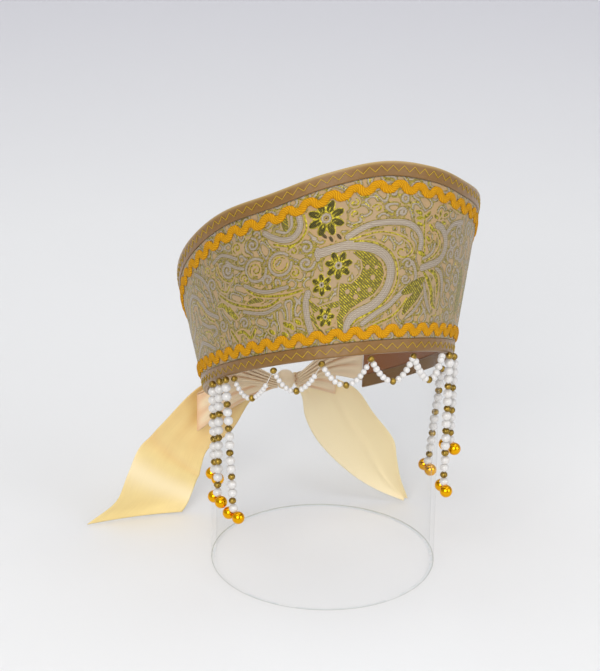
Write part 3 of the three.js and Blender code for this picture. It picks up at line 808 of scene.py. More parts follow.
def smooth_curve(points, shares):
    """Places on a smooth curve through the points, at shares of the way from the first to the last."""
    points = np.asarray(points, float)
    ends = np.vstack((2 * points[0] - points[1], points, 2 * points[-1] - points[-2]))
    places = np.clip(np.asarray(shares, float), 0, 1) * (len(points) - 1)
    index = np.minimum(places.astype(int), len(points) - 2)
    weight = (places - index)[:, None]
    p0, p1, p2, p3 = (ends[index + k] for k in range(4))
    gaps = [np.sqrt(np.linalg.norm(b - a, axis=1))[:, None] for a, b in ((p0, p1), (p1, p2), (p2, p3))]
    d1 = np.where(gaps[1] < 1e-6, 1, gaps[1])
    d0 = np.where(gaps[0] < 1e-6, d1, gaps[0])
    d2 = np.where(gaps[2] < 1e-6, d1, gaps[2])
    leave = ((p1 - p0) / d0 - (p2 - p0) / (d0 + d1) + (p2 - p1) / d1) * d1
    arrive = ((p2 - p1) / d1 - (p3 - p1) / (d1 + d2) + (p3 - p2) / d2) * d1
    square = -3 * p1 + 3 * p2 - 2 * leave - arrive
    cube = 2 * p1 - 2 * p2 + leave + arrive
    return p1 + leave * weight + square * weight ** 2 + cube * weight ** 3


def height_curve():
    """The band's height at each angle, as a smooth curve through its known heights."""
    rows = [(-angle, height) for angle, height in reversed(BAND_HEIGHTS[1:])] + list(BAND_HEIGHTS)
    places = smooth_curve(rows, np.linspace(0, 1, HEIGHT_STEPS))
    return np.radians(places[:, 0]), places[:, 1] * MM


HEIGHT_ANGLES, HEIGHT_VALUES = height_curve()


def band_height(angle):
    """How high the band is at an angle round it."""
    return np.interp(angle, HEIGHT_ANGLES, HEIGHT_VALUES)


def on_band(angle, height, out=0.0):
    """Points on the band's outer face, in the headdress's own frame, some way out of the face."""
    angle, height, out = np.broadcast_arrays(np.asarray(angle, float), height, out)
    sin = np.sin(angle)
    cos = np.cos(angle)
    flare = height * math.tan(BAND_FLARE)
    outward = np.stack((sin / BAND_HALF_WIDTH, -cos / BAND_HALF_DEPTH, 0 * sin), -1)
    outward /= np.linalg.norm(outward, axis=-1, keepdims=True)
    across = (BAND_HALF_WIDTH + flare) * sin + BAND_SWAY * height
    back = -(BAND_HALF_DEPTH + flare) * cos
    return np.stack((across, back, height + BAND_SIDE_RISE * sin ** 2), -1) + outward * out[..., None]


def seated(points):
    """From the headdress's frame to the stand's, where the headdress leans back on the tube."""
    return points @ SEAT_TURN.T + SEAT + AXIS


def running_length(points):
    """How far along a path each of its points is."""
    steps = np.linalg.norm(np.diff(points, axis=0), axis=1)
    return np.concatenate(((0,), np.cumsum(steps)))


def flat_lengths():
    """How far along the flat band each angle is, measured half way up, with 0 in the middle."""
    angles = np.linspace(-BAND_END, BAND_END, LENGTH_STEPS)
    lengths = running_length(on_band(angles, HALF_WAY_UP))
    return angles, lengths - np.interp(0, angles, lengths)


BAND_ANGLES, BAND_LENGTHS = flat_lengths()


def angle_at(length):
    """The angle round the band at a length along it."""
    return np.interp(length, BAND_LENGTHS, BAND_ANGLES)


def grid_faces(rows, columns, start=0, around=False):
    """Four-sided faces of a grid whose points are stored row by row."""
    index = np.arange(rows * columns).reshape(rows, columns) + start
    if around:
        index = np.concatenate((index, index[:, :1]), axis=1)
    corners = (index[:-1, :-1], index[:-1, 1:], index[1:, 1:], index[1:, :-1])
    return np.stack([c.ravel() for c in corners], axis=1).tolist()


def make_object(name, points, faces, material, flat=None, values=None):
    """A smooth mesh object at the origin, with its flat cloth places and values on its points."""
    mesh = bpy.data.meshes.new(name)
    mesh.from_pydata(np.asarray(points).tolist(), [], faces)
    for key, numbers in (values or {}).items():
        mesh.attributes.new(key, "FLOAT", "POINT").data.foreach_set("value", numbers)
    if flat is not None:
        corner_points = np.empty(len(mesh.loops), np.int32)
        mesh.loops.foreach_get("vertex_index", corner_points)
        layer = mesh.uv_layers.new(name="cloth")
        layer.data.foreach_set("uv", (np.asarray(flat) / CLOTH_UNIT)[corner_points].ravel())
    mesh.materials.append(material)
    shell = bmesh.new()
    shell.from_mesh(mesh)
    bmesh.ops.recalc_face_normals(shell, faces=shell.faces)
    shell.to_mesh(mesh)
    shell.free()
    mesh.shade_smooth()
    made = bpy.data.objects.new(name, mesh)
    bpy.context.scene.collection.objects.link(made)
    return made


def capped_tube(rows, columns):
    """Faces of a closed tube between rings of points, with a face over each end."""
    faces = grid_faces(rows, columns, around=True)
    faces.append(list(range(columns)))
    faces.append(list(range((rows - 1) * columns, rows * columns)))
    return faces


def both_flat(along, across):
    """Flat cloth places, one for each point of a grid, from its lengths along and across."""
    return np.stack(np.broadcast_arrays(along, across), -1).reshape(-1, 2)


def closed_wall(front, back):
    """Points and faces of a closed wall between two grids of the same size."""
    rows, columns = front.shape[:2]
    count = rows * columns
    faces = grid_faces(rows, columns) + grid_faces(rows, columns, start=count)
    index = np.arange(count).reshape(rows, columns)
    edge = np.concatenate((index[0], index[1:, -1], index[-1, -2::-1], index[-2:0:-1, 0]))
    ahead = np.roll(edge, -1)
    faces += np.stack((edge, ahead, ahead + count, edge + count), axis=1).tolist()
    return np.concatenate((front.reshape(-1, 3), back.reshape(-1, 3))), faces


def bell(value, middle, width):
    """A smooth rise to 1 at a middle, and down again."""
    return np.exp(-((value - middle) / width) ** 2)


def uneven(lengths, short, long, start):
    """Two waves along the cloth multiplied, so that its creases differ, as a column of a grid."""
    return (np.sin(lengths / short) * np.sin(lengths / long + start))[:, None]


def cloth_wall(grid, thickness):
    """The front and back of a cloth about a grid of middle points."""
    along = np.gradient(grid, axis=0)
    across = np.gradient(grid, axis=1)
    normal = np.cross(along, across)
    normal /= np.maximum(np.linalg.norm(normal, axis=-1, keepdims=True), 1e-12)
    return grid + normal * thickness / 2, grid - normal * thickness / 2


def grid_lengths(grid):
    """How far along and across a grid each of its points is."""
    down = np.linalg.norm(np.diff(grid, axis=0), axis=-1).mean(axis=1)
    over = np.linalg.norm(np.diff(grid, axis=1), axis=-1).mean(axis=0)
    rows = np.concatenate(((0,), np.cumsum(down)))
    columns = np.concatenate(((0,), np.cumsum(over)))
    return np.stack(np.meshgrid(rows, columns, indexing="ij"), -1)


def dress(obj, slot, *nodes):
    """The piece rides on the object and stands for its nodes."""
    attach(obj, "root")
    if nodes:
        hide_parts(*nodes)
    return obj


class Pattern:
    """Distances from places on the flat brocade, in millimetres, to each kind of thread's outline."""

    def __init__(self, along, up):
        self.places = np.stack((self.folded(along), up), -1)
        self.depth = {thread: np.full(along.shape, FAR)
                      for thread in ("silver", "lurex", "dark", "hatch", "vein")}
        self.spots = np.full(along.shape, FAR)

    def folded(self, along):
        """Lengths along the band, mirrored past the part that is drawn."""
        along = np.where(along > MIRROR_RIGHT, 2 * MIRROR_RIGHT - along, along)
        return np.where(along < MIRROR_LEFT, 2 * MIRROR_LEFT - along, along)

    def near(self, points, reach):
        """The places close to a shape, so that the rest isn't measured."""
        low = points.min(axis=0) - reach
        high = points.max(axis=0) + reach
        return np.all((self.places > low) & (self.places < high), axis=-1)

    def merge(self, thread, where, distance):
        """Keeps the nearer of a new distance and the one so far."""
        self.depth[thread][where] = np.minimum(self.depth[thread][where], distance)

    def line(self, thread, width, points, taper=False, smooth=True):
        """A stroke along the points, of one width or tapering to both ends."""
        steps = STROKE_STEPS * (len(points) - 1) + 1
        path = smooth_curve(points, np.linspace(0, 1, steps)) if smooth else np.asarray(points, float)
        where = self.near(path, width / 2 + MEASURED)
        places = self.places[where]
        closest = np.full(len(places), FAR)
        halves = np.full(len(path), width / 2)
        if taper:
            halves = width / 2 * np.sqrt(np.sin(np.linspace(*TAPER, len(path)) * math.pi))
        for start, end, from_half, to_half in zip(path[:-1], path[1:], halves[:-1], halves[1:]):
            side = end - start
            share = np.clip((places - start) @ side / (side @ side), 0, 1)
            gap = np.linalg.norm(places - start - share[:, None] * side, axis=1)
            closest = np.minimum(closest, gap - from_half - share * (to_half - from_half))
        self.merge(thread, where, closest)

    def curl(self, thread, width, middle, radius, turns, start):
        """A spiral from its middle out to its radius."""
        share = np.linspace(CURL_START, 1, int(CURL_STEPS * turns) + 2)
        turn = math.radians(start) + share * turns * 2 * math.pi
        reach = radius * (share if turns > 1 else 1)
        points = np.stack((middle[0] + reach * np.cos(turn) * CURL_STRETCH,
                           middle[1] + reach * np.sin(turn)), -1)
        self.line(thread, width, points, smooth=False)

    def area(self, thread, outline):
        """A filled area inside a closed outline."""
        points = np.asarray(outline, float)
        where = self.near(points, MEASURED)
        places = self.places[where]
        closest = np.full(len(places), FAR)
        crossed = np.zeros(len(places), bool)
        for start, end in zip(points, np.roll(points, -1, axis=0)):
            side = end - start
            share = np.clip((places - start) @ side / (side @ side), 0, 1)
            closest = np.minimum(closest, np.linalg.norm(places - start - share[:, None] * side, axis=1))
            spans = (places[:, 1] < start[1]) != (places[:, 1] < end[1])
            run = start[0] + (places[:, 1] - start[1]) * side[0] / (side[1] or 1e-9)
            crossed ^= spans & (places[:, 0] < run)
        self.merge(thread, where, np.where(crossed, -closest, closest))

    def spot(self, middle, radius):
        """A round patch of bare ground."""
        gap = np.linalg.norm(self.places - np.asarray(middle), axis=-1) - radius
        self.spots = np.minimum(self.spots, gap)

    def flower(self, middle, petals, root, tip, start):
        """Split petals round a silver ring, dark with a metallic edge, on a patch of bare ground."""
        self.spot(middle, tip + FLOWER_CLEARANCE)
        middle = np.asarray(middle)
        width = PETAL_FILL * 2 * math.pi * (root + tip) / 2 / petals
        for i in range(petals):
            turn = math.radians(start) + i * 2 * math.pi / petals
            ahead = np.array((math.cos(turn), math.sin(turn)))
            ends = [middle + ahead * reach for reach in (root, (root + tip) / 2, tip)]
            self.line("lurex", width, ends, taper=True)
            self.line("dark", width - PETAL_EDGE, ends, taper=True)
            self.line("vein", VEIN_WIDTH, ends[:2], taper=True)
        ring = [middle + root * RING_SHARE * np.array((math.cos(a), math.sin(a)))
                for a in np.linspace(0, 2 * math.pi, 13)]
        self.line("silver", RING_WIDTH, ring, smooth=False)
        self.line("dark", EYE_WIDTH, [middle, middle + 0.1], smooth=False)

    def fill_scrolls(self):
        """Thin wandering silver and metallic lines over what the motifs leave bare."""
        bare = np.minimum.reduce([*self.depth.values(), self.spots])
        x, y = self.places[..., 0], self.places[..., 1]
        chance = np.random.default_rng(SCROLL_SEED)
        field = np.zeros(x.shape)
        slope_x = np.zeros(x.shape)
        slope_y = np.zeros(x.shape)
        for _ in range(SCROLL_WAVES):
            turn = chance.uniform(0, 2 * math.pi)
            rate = 2 * math.pi / chance.uniform(*SCROLL_LENGTHS)
            phase = chance.uniform(0, 2 * math.pi)
            kx, ky = rate * math.cos(turn), rate * math.sin(turn)
            field += np.sin(kx * x + ky * y + phase)
            slope_x += kx * np.cos(kx * x + ky * y + phase)
            slope_y += ky * np.cos(kx * x + ky * y + phase)
        slope = np.hypot(slope_x, slope_y) + SCROLL_STEADY
        for thread, level, width in SCROLL_LINES:
            scroll = np.maximum(np.abs(field - level) / slope - width / 2, SCROLL_CLEARANCE - bare)
            self.depth[thread] = np.minimum(self.depth[thread], scroll)

    def drawn(self):
        """Draws the whole pattern and gives the distances to each kind of thread."""
        for stroke in STROKES:
            self.line(*stroke)
        for leaf in LEAVES:
            self.line(*leaf, taper=True)
        for curl in CURLS:
            self.curl(*curl)
        for outline in HATCHED:
            self.area("hatch", outline)
        for middle, radius in SPOTS:
            self.spot(middle, radius)
        for flower in FLOWERS:
            self.flower(*flower)
        self.depth["hatch"] = np.maximum(self.depth["hatch"], -self.spots)
        veins = self.depth.pop("vein")
        self.depth["dark"] = np.maximum(self.depth["dark"], -veins)
        self.fill_scrolls()
        return self.depth


def make_brocade_band(sizes):
    """The outer wall of the band, with its raised threads, and a plain back."""
    low = BOTTOM_BINDING + GAP
    columns, rows = BAND_GRID
    lengths = np.linspace(BAND_LENGTHS[0], BAND_LENGTHS[-1], columns)
    angle = angle_at(lengths)[:, None]
    top = band_height(angle) - TOP_BINDING - GAP
    height = low + (top - low) * np.linspace(0, 1, rows)[None, :]
    along = np.broadcast_to(lengths[:, None], height.shape)
    threads = Pattern(along / MM, height / MM).drawn()
    raised = np.maximum.reduce([np.clip(0.5 - threads[kind] / THREAD_SLOPE, 0, 1) * rise
                                for kind, rise in THREAD_RISE])
    front = seated(on_band(angle, height, sizes.relief * raised))
    back = seated(on_band(angle, height[:, [0, -1]], -BAND_WALL))
    points = np.concatenate((front.reshape(-1, 3), back.reshape(-1, 3)))
    count = columns * rows
    front_index = np.arange(count).reshape(columns, rows)
    back_index = np.arange(2 * columns).reshape(columns, 2) + count
    faces = grid_faces(columns, rows) + grid_faces(columns, 2, start=count)
    for column, near in ((0, 0), (-1, 1)):
        rim = np.stack((front_index[:-1, column], front_index[1:, column],
                        back_index[1:, near], back_index[:-1, near]), axis=1)
        faces += rim.tolist()
    for end in (0, -1):
        faces.append([*front_index[end].tolist(), int(back_index[end, 1]), int(back_index[end, 0])])
    flat = np.concatenate((both_flat(along, height), both_flat(along[:, [0, -1]], height[:, [0, -1]])))
    values = {kind: np.concatenate((depth.ravel(), np.full(2 * columns, FAR)))
              for kind, depth in threads.items()}
    return make_object("brocade_band", points, faces, finish("brocade"), flat=flat, values=values)


def make_lining():
    """The satin lining: a smooth wall that is a little slack between its seams."""
    low = BOTTOM_BINDING + GAP
    lengths = np.linspace(BAND_LENGTHS[0], BAND_LENGTHS[-1], LINING_GRID[0])
    share = np.linspace(0, 1, LINING_GRID[1])[None, :]
    angle = angle_at(lengths)[:, None]
    height = low + (band_height(angle) - TOP_BINDING - GAP - low) * share
    slack = LINING_SLACK * uneven(lengths, *LINING_WAVES) * np.sin(share * math.pi)
    front = seated(on_band(angle, height, -BAND_WALL - GAP))
    back = seated(on_band(angle, height, -SANDWICH + LINING_SLACK + slack))
    points, faces = closed_wall(front, back)
    flat = both_flat(lengths[:, None], height)
    return make_object("satin_lining", points, faces, finish("lining_satin"),
                       flat=np.concatenate((flat, flat)))


def binding_section(depth):
    """Across a binding: how far in from the edge, and how far out of the band's face."""
    inner = -SANDWICH
    turn = np.linspace(0, math.pi / 2, 5)
    arc_in = BINDING_ROUND * (1 - np.sin(turn))
    arc_out = BINDING_ROUND * (1 - np.cos(turn))
    face = np.linspace(depth - HEM_CORNER, BINDING_ROUND * 1.2, 9)
    outer = [(depth, HEM_FOOT), (depth, BINDING_PROUD * 0.75)]
    outer += [(place, BINDING_PROUD) for place in face]
    outer += [(a, BINDING_PROUD - o) for a, o in zip(arc_in, arc_out)]
    inner_side = [(a, inner + o) for a, o in zip(arc_in[::-1], arc_out[::-1])]
    inner_side += [(place, inner) for place in face[::-1]]
    inner_side += [(depth, inner)]
    return np.array(outer + inner_side)


def make_binding(name, node, edge_at, direction, depth, sizes):
    """A satin binding folded over an edge, puckered by its stitches, with a painted highlight along the
    top binding's rounded edge.
    """
    section = binding_section(depth)
    lengths = np.linspace(BAND_LENGTHS[0], BAND_LENGTHS[-1], BINDING_STEPS)
    angle = angle_at(lengths)[:, None]
    inward, out = section[:, 0][None, :], section[:, 1][None, :]
    middle = np.sin(np.clip(inward / depth, 0, 1) * math.pi)
    pucker = np.sin(lengths * 2 * math.pi / sizes.stitch_pitch)[:, None]
    slow = uneven(lengths, *CREASE_WAVES)
    crease = middle * (PUCKER * pucker + SLOW_CREASE * slow) * (out > 0)
    roll = HEM_ROLL * bell(inward, depth - HEM_INSET, HEM_WIDTH) * (out > 0)
    height = edge_at(angle) - direction * inward
    points = seated(on_band(angle, height, out + crease + roll))
    rows, columns = points.shape[:2]
    flat = both_flat(lengths[:, None], running_length(section)[None, :])
    # Painted highlight: a paler golden line along the rounded edge of the top binding, on its outer half
    painted_highlight = bell(section[:, 0], 0, PAINTED_HIGHLIGHT_WIDTH) * (section[:, 1] > -SANDWICH / 2) * (direction > 0)
    made = make_object(name, points.reshape(-1, 3), capped_tube(rows, columns),
                       finish("binding_satin"), flat=flat, values={"painted_highlight": np.tile(painted_highlight, rows)})
    return dress(made, "binding_satin", node)


def grown(name, mesh, tree, inputs):
    """Runs a geometry tree on a mesh and keeps its result as a plain mesh object."""
    made = bpy.data.objects.new(name, mesh)
    bpy.context.scene.collection.objects.link(made)
    modifier = made.modifiers.new("growth", "NODES")
    modifier.node_group = tree
    for item in tree.interface.items_tree:
        if item.item_type == "SOCKET" and item.in_out == "INPUT" and item.name in inputs:
            modifier[item.identifier] = inputs[item.name]
    graph = bpy.context.evaluated_depsgraph_get()
    result = bpy.data.meshes.new_from_object(made.evaluated_get(graph), depsgraph=graph)
    made.modifiers.remove(modifier)
    made.data = result
    result.name = name
    return made


def new_tree(name, inputs):
    """A geometry tree with named inputs, and its input node."""
    tree = bpy.data.node_groups.new(name, "GeometryNodeTree")
    tree.interface.new_socket("Geometry", in_out="INPUT", socket_type="NodeSocketGeometry")
    for label, kind in inputs:
        tree.interface.new_socket(label, in_out="INPUT", socket_type=kind)
    tree.interface.new_socket("Geometry", in_out="OUTPUT", socket_type="NodeSocketGeometry")
    entry = tree.nodes.new("NodeGroupInput")
    graph = Graph(tree)
    return graph, {socket.name: Value(graph, socket) for socket in entry.outputs if socket.name}


def named(graph, name, kind):
    """An attribute of the points, by its name."""
    return graph.add("GeometryNodeInputNamedAttribute", {"data_type": kind}, {"Name": name})


def tube_along(graph, curve, thickness):
    """A thread of some thickness along a curve."""
    ring = graph.add("GeometryNodeCurvePrimitiveCircle", {}, {
        "Resolution": THREAD_SIDES, "Radius": thickness * 0.5})
    return graph.add("GeometryNodeCurveToMesh", {}, {
        "Curve": curve, "Profile Curve": ring, "Fill Caps": True})


def zigzag_tree():
    """A zigzag thread along a line whose points carry the way across it."""
    graph, entry = new_tree("zigzag_stitch", (
        ("Pitch", "NodeSocketFloat"), ("Reach", "NodeSocketFloat"), ("Thread", "NodeSocketFloat"),
        ("Finish", "NodeSocketMaterial")))
    curve = graph.add("GeometryNodeMeshToCurve", {}, {0: entry["Geometry"]})
    evened = graph.add("GeometryNodeResampleCurve", {"mode": "LENGTH"}, {
        "Curve": curve, "Length": entry["Pitch"] * 0.5})
    index = graph.add("GeometryNodeInputIndex")
    swing = graph.math("MODULO", index, 2) * 2 - 1
    across = named(graph, "across", "FLOAT_VECTOR")
    offset = graph.add("ShaderNodeVectorMath", {"operation": "SCALE"}, {
        0: across, "Scale": swing * entry["Reach"]})
    zigzag = graph.add("GeometryNodeSetPosition", {}, {"Geometry": evened, "Offset": offset})
    thread = tube_along(graph, zigzag, entry["Thread"])
    smooth = graph.add("GeometryNodeSetShadeSmooth", {}, {0: thread})
    real = graph.add("GeometryNodeRealizeInstances", {}, {0: smooth})
    dyed = graph.add("GeometryNodeSetMaterial", {}, {"Geometry": real, "Material": entry["Finish"]})
    graph.add("NodeGroupOutput", {}, {0: dyed})
    return graph.tree


def make_zigzag(name, edge_at, direction, inset, sizes, tree):
    """The stitching along a binding, a little above its face."""
    angle = np.linspace(-BAND_END + STITCH_END_ANGLE, BAND_END - STITCH_END_ANGLE, ZIGZAG_STEPS)
    height = edge_at(angle) - direction * inset
    out = BINDING_PROUD + sizes.stitch_thread * 0.3
    middle = seated(on_band(angle, height, out))
    above = seated(on_band(angle, height + 1 * MM, out))
    across = (above - middle) / (1 * MM)
    mesh = bpy.data.meshes.new(name)
    mesh.from_pydata(middle.tolist(), [(i, i + 1) for i in range(len(middle) - 1)], [])
    mesh.attributes.new("across", "FLOAT_VECTOR", "POINT").data.foreach_set("vector", across.ravel())
    made = grown(name, mesh, tree, {
        "Pitch": sizes.stitch_pitch, "Reach": sizes.stitch_reach, "Thread": sizes.stitch_thread,
        "Finish": finish("stitch_thread")})
    return dress(made, "yellow_braid")


def make_braid(name, node, height_at, sizes):
    """A waved braid with a rounded, ridged section, sewn flat on the brocade."""
    total = BAND_LENGTHS[-1] - BAND_LENGTHS[0] - 2 * BRAID_END_GAP
    waves = round(total / BRAID_PERIOD)
    sections = waves * BRAID_WAVE_STEPS
    lengths = BAND_LENGTHS[0] + BRAID_END_GAP + total * np.linspace(0, 1, sections)
    phase = 2 * math.pi * waves * np.linspace(0, 1, sections)
    angle = angle_at(lengths)
    swing = sizes.braid_wave * (np.sin(phase) + BRAID_CREST * np.sin(3 * phase))
    rate = 2 * math.pi / BRAID_PERIOD
    slope = sizes.braid_wave * rate * (np.cos(phase) + 3 * BRAID_CREST * np.cos(3 * phase))
    turn = np.linspace(0, 2 * math.pi, BRAID_SIDES, endpoint=False)
    side = np.cos(turn) * sizes.braid_width / 2
    ridge = 1 + 0.1 * np.cos(3 * turn)
    rise = BRAID_LIFT + np.clip(np.sin(turn), -0.1, 1) * sizes.braid_thick * ridge
    tilt = np.arctan(slope)
    length_grid = lengths[:, None] - side[None, :] * np.sin(tilt)[:, None]
    height_grid = height_at(angle)[:, None] + swing[:, None] + side[None, :] * np.cos(tilt)[:, None]
    points = seated(on_band(angle_at(length_grid), height_grid, rise[None, :]))
    flat = both_flat(running_length(points.mean(axis=1))[:, None], side[None, :])
    made = make_object(name, points.reshape(-1, 3), capped_tube(sections, BRAID_SIDES),
                       finish("yellow_braid"), flat=flat)
    return dress(made, "yellow_braid", node)


def bead_tree():
    """Beads of four kinds on points that carry their size, kind and axis, with a thread between."""
    graph, entry = new_tree("beads_on_thread", (
        ("Thread", "NodeSocketFloat"), ("Pearl finish", "NodeSocketMaterial"),
        ("Spacer finish", "NodeSocketMaterial"), ("Ball finish", "NodeSocketMaterial"),
        ("Thread finish", "NodeSocketMaterial")))
    kind = named(graph, "kind", "INT")
    turn = graph.add("FunctionNodeAlignRotationToVector", {"axis": "Z"}, {
        "Vector": named(graph, "axis", "FLOAT_VECTOR")})
    parts = []
    for bead, sides, rings, squat in BEAD_BALLS:
        ball = graph.add("GeometryNodeMeshUVSphere", {}, {
            "Segments": sides, "Rings": rings, "Radius": 0.5})
        shaped = graph.add("GeometryNodeTransform", {}, {"Geometry": ball, "Scale": (1, 1, squat)})
        chosen = graph.add("FunctionNodeCompare", {"data_type": "INT", "operation": "EQUAL"}, {
            2: kind, 3: bead})
        parts.append(graph.add("GeometryNodeInstanceOnPoints", {}, {
            "Points": entry["Geometry"], "Selection": chosen, "Instance": shaped, "Rotation": turn,
            "Scale": named(graph, "size", "FLOAT")}))
    curve = graph.add("GeometryNodeMeshToCurve", {}, {0: entry["Geometry"]})
    thread = tube_along(graph, curve, entry["Thread"])
    parts.append(graph.add("GeometryNodeStoreNamedAttribute", {"data_type": "INT"}, {
        "Geometry": thread, "Name": "kind", "Value": THREAD_KIND}))
    joined = graph.add("GeometryNodeJoinGeometry")
    for part in reversed(parts):
        graph.tree.links.new(part.socket, joined.socket.node.inputs[0])
    smooth = graph.add("GeometryNodeSetShadeSmooth", {}, {0: joined})
    result = graph.add("GeometryNodeRealizeInstances", {}, {0: smooth})
    finishes = ("Pearl finish", "Spacer finish", "Ball finish", "Thread finish")
    for bead, label in enumerate(finishes):
        chosen = graph.add("FunctionNodeCompare", {"data_type": "INT", "operation": "EQUAL"}, {
            2: named(graph, "kind", "INT"), 3: bead})
        result = graph.add("GeometryNodeSetMaterial", {}, {
            "Geometry": result, "Selection": chosen, "Material": entry[label]})
    graph.add("NodeGroupOutput", {}, {0: result})
    return graph.tree


def make_beads(name, node, beads, links, sizes, tree):
    """Beads from rows of (place, size, kind, axis), and the links of thread between them."""
    mesh = bpy.data.meshes.new(name)
    mesh.from_pydata([tuple(row[0]) for row in beads], links, [])
    mesh.attributes.new("size", "FLOAT", "POINT").data.foreach_set("value", [row[1] for row in beads])
    mesh.attributes.new("kind", "INT", "POINT").data.foreach_set("value", [row[2] for row in beads])
    axes = np.array([row[3] for row in beads]).ravel()
    mesh.attributes.new("axis", "FLOAT_VECTOR", "POINT").data.foreach_set("vector", axes)
    made = grown(name, mesh, tree, {
        "Thread": sizes.string_thread, "Pearl finish": finish("white_pearl"),
        "Spacer finish": finish("antique_gold"), "Ball finish": finish("shiny_gold"),
        "Thread finish": finish("string_thread")})
    return dress(made, "white_beads", node)


def hanging_string(angle, first, groups, lean_x, lean_y, pair, chance):
    """Rows of beads and links of thread for one hanging string."""
    kinds = [SPACER_KIND] + [PEARL_KIND] * first + [SPACER_KIND]
    for _ in range(groups - 1):
        kinds += [PEARL_KIND, PEARL_KIND, SPACER_KIND]
    kinds.append(PEARL_KIND)
    start = seated(on_band(math.radians(angle), 0.0, STRING_OUT)) - np.array((0, 0, STRING_DROP))
    way = np.array((lean_x, lean_y, -1.0))
    way /= np.linalg.norm(way)
    side = np.cross(way, (0, 1, 0))
    beads = []
    run = 0.0
    for kind in kinds:
        diameter = SPACER if kind == SPACER_KIND else PEARL
        drift = side * chance.uniform(-BEAD_DRIFT, BEAD_DRIFT)
        tip = way + side * chance.uniform(-BEAD_TIP, BEAD_TIP)
        swell = chance.uniform(*BEAD_SWELL)
        beads.append((start + way * (run + diameter / 2) + drift, diameter * swell, kind, tip))
        run += diameter
    middle = start + way * (run - PEARL / 2 + BALL_DROP)
    apart = np.array((math.cos(math.radians(pair)), math.sin(math.radians(pair)), 0)) * BALL_SPREAD
    last = len(beads) - 1
    links = [(i, i + 1) for i in range(last)]
    for place in (middle + apart, middle - apart):
        beads.append((place, END_BALL, BALL_KIND, np.array((0, 0, 1.0))))
        links.append((last, len(beads) - 1))
    return beads, links


def fringe_beads(chance):
    """Rows of beads along the scallops, with a larger bead at each peak and each valley."""
    peaks = [math.radians(FRINGE_FIRST_ANGLE + i * FRINGE_STEP_ANGLE) for i in range(FRINGE_SCALLOPS + 1)]
    beads = []
    for start, end in zip(peaks[:-1], peaks[1:]):
        share = np.linspace(0, 1, SCALLOP_STEPS)
        path = seated(on_band(start + (end - start) * share, 0.0, FRINGE_OUT))
        path[:, 2] -= FRINGE_DROP + FRINGE_SAG * 4 * share * (1 - share)
        lengths = running_length(path)
        half = lengths[len(lengths) // 2]
        pearl = (half - FRINGE_BEAD) / FRINGE_PEARLS
        runs = [0.0] + [FRINGE_BEAD / 2 + pearl * (i + 0.5) for i in range(FRINGE_PEARLS)]
        runs += [half] + [2 * half - run for run in reversed(runs[1:])]
        for i, run in enumerate(runs):
            large = i in (0, FRINGE_PEARLS + 1)
            place = np.array([np.interp(run, lengths, path[:, k]) for k in range(3)])
            ahead = np.array([np.interp(run + MM, lengths, path[:, k]) for k in range(3)])
            swell = chance.uniform(*BEAD_SWELL)
            beads.append((place, (FRINGE_BEAD if large else FRINGE_OVERLAP * pearl) * swell,
                          SPACER_KIND if large else PEARL_KIND, (ahead - place) / MM))
    last = seated(on_band(peaks[-1], 0.0, FRINGE_OUT)) - np.array((0, 0, FRINGE_DROP))
    beads.append((last, FRINGE_BEAD, SPACER_KIND, np.array((0, 0, 1.0))))
    return beads, [(i, i + 1) for i in range(len(beads) - 1)]


def ribbon_grid(edges, rows, columns, bulge):
    """Middle points of a ribbon between its two edges, from rows of (first edge, second edge)."""
    edges = np.asarray(edges, float) * MM
    shares = np.linspace(0, 1, rows)
    first = smooth_curve(edges[:, 0], shares)
    second = smooth_curve(edges[:, 1], shares)
    across = np.linspace(0, 1, columns)[None, :, None]
    grid = first[:, None] * (1 - across) + second[:, None] * across
    grid[..., 1] += bulge * np.sin(math.pi * across[..., 0])
    return grid + AXIS


def make_ribbon(name, grid, node, satin, painted_shade, painted_highlight=0):
    """A ribbon about its middle grid, made deeper in colour by painted shade and paler by a painted
    highlight, each from 0 to 1.
    """
    front, back = cloth_wall(grid, RIBBON_THICK)
    points, faces = closed_wall(front, back)
    flat = grid_lengths(grid).reshape(-1, 2)
    values = {key: np.tile(np.broadcast_to(share, grid.shape[:2]).ravel(), 2)
              for key, share in (("painted_shade", painted_shade), ("painted_highlight", painted_highlight))}
    made = make_object(name, points, faces, finish(satin), flat=np.concatenate((flat, flat)),
                       values=values)
    return dress(made, "ribbon_satin", node)


def shares(grid):
    """Shares from 0 to 1 down a grid and across it."""
    return np.linspace(0, 1, grid[0])[:, None], np.linspace(0, 1, grid[1])[None, :]


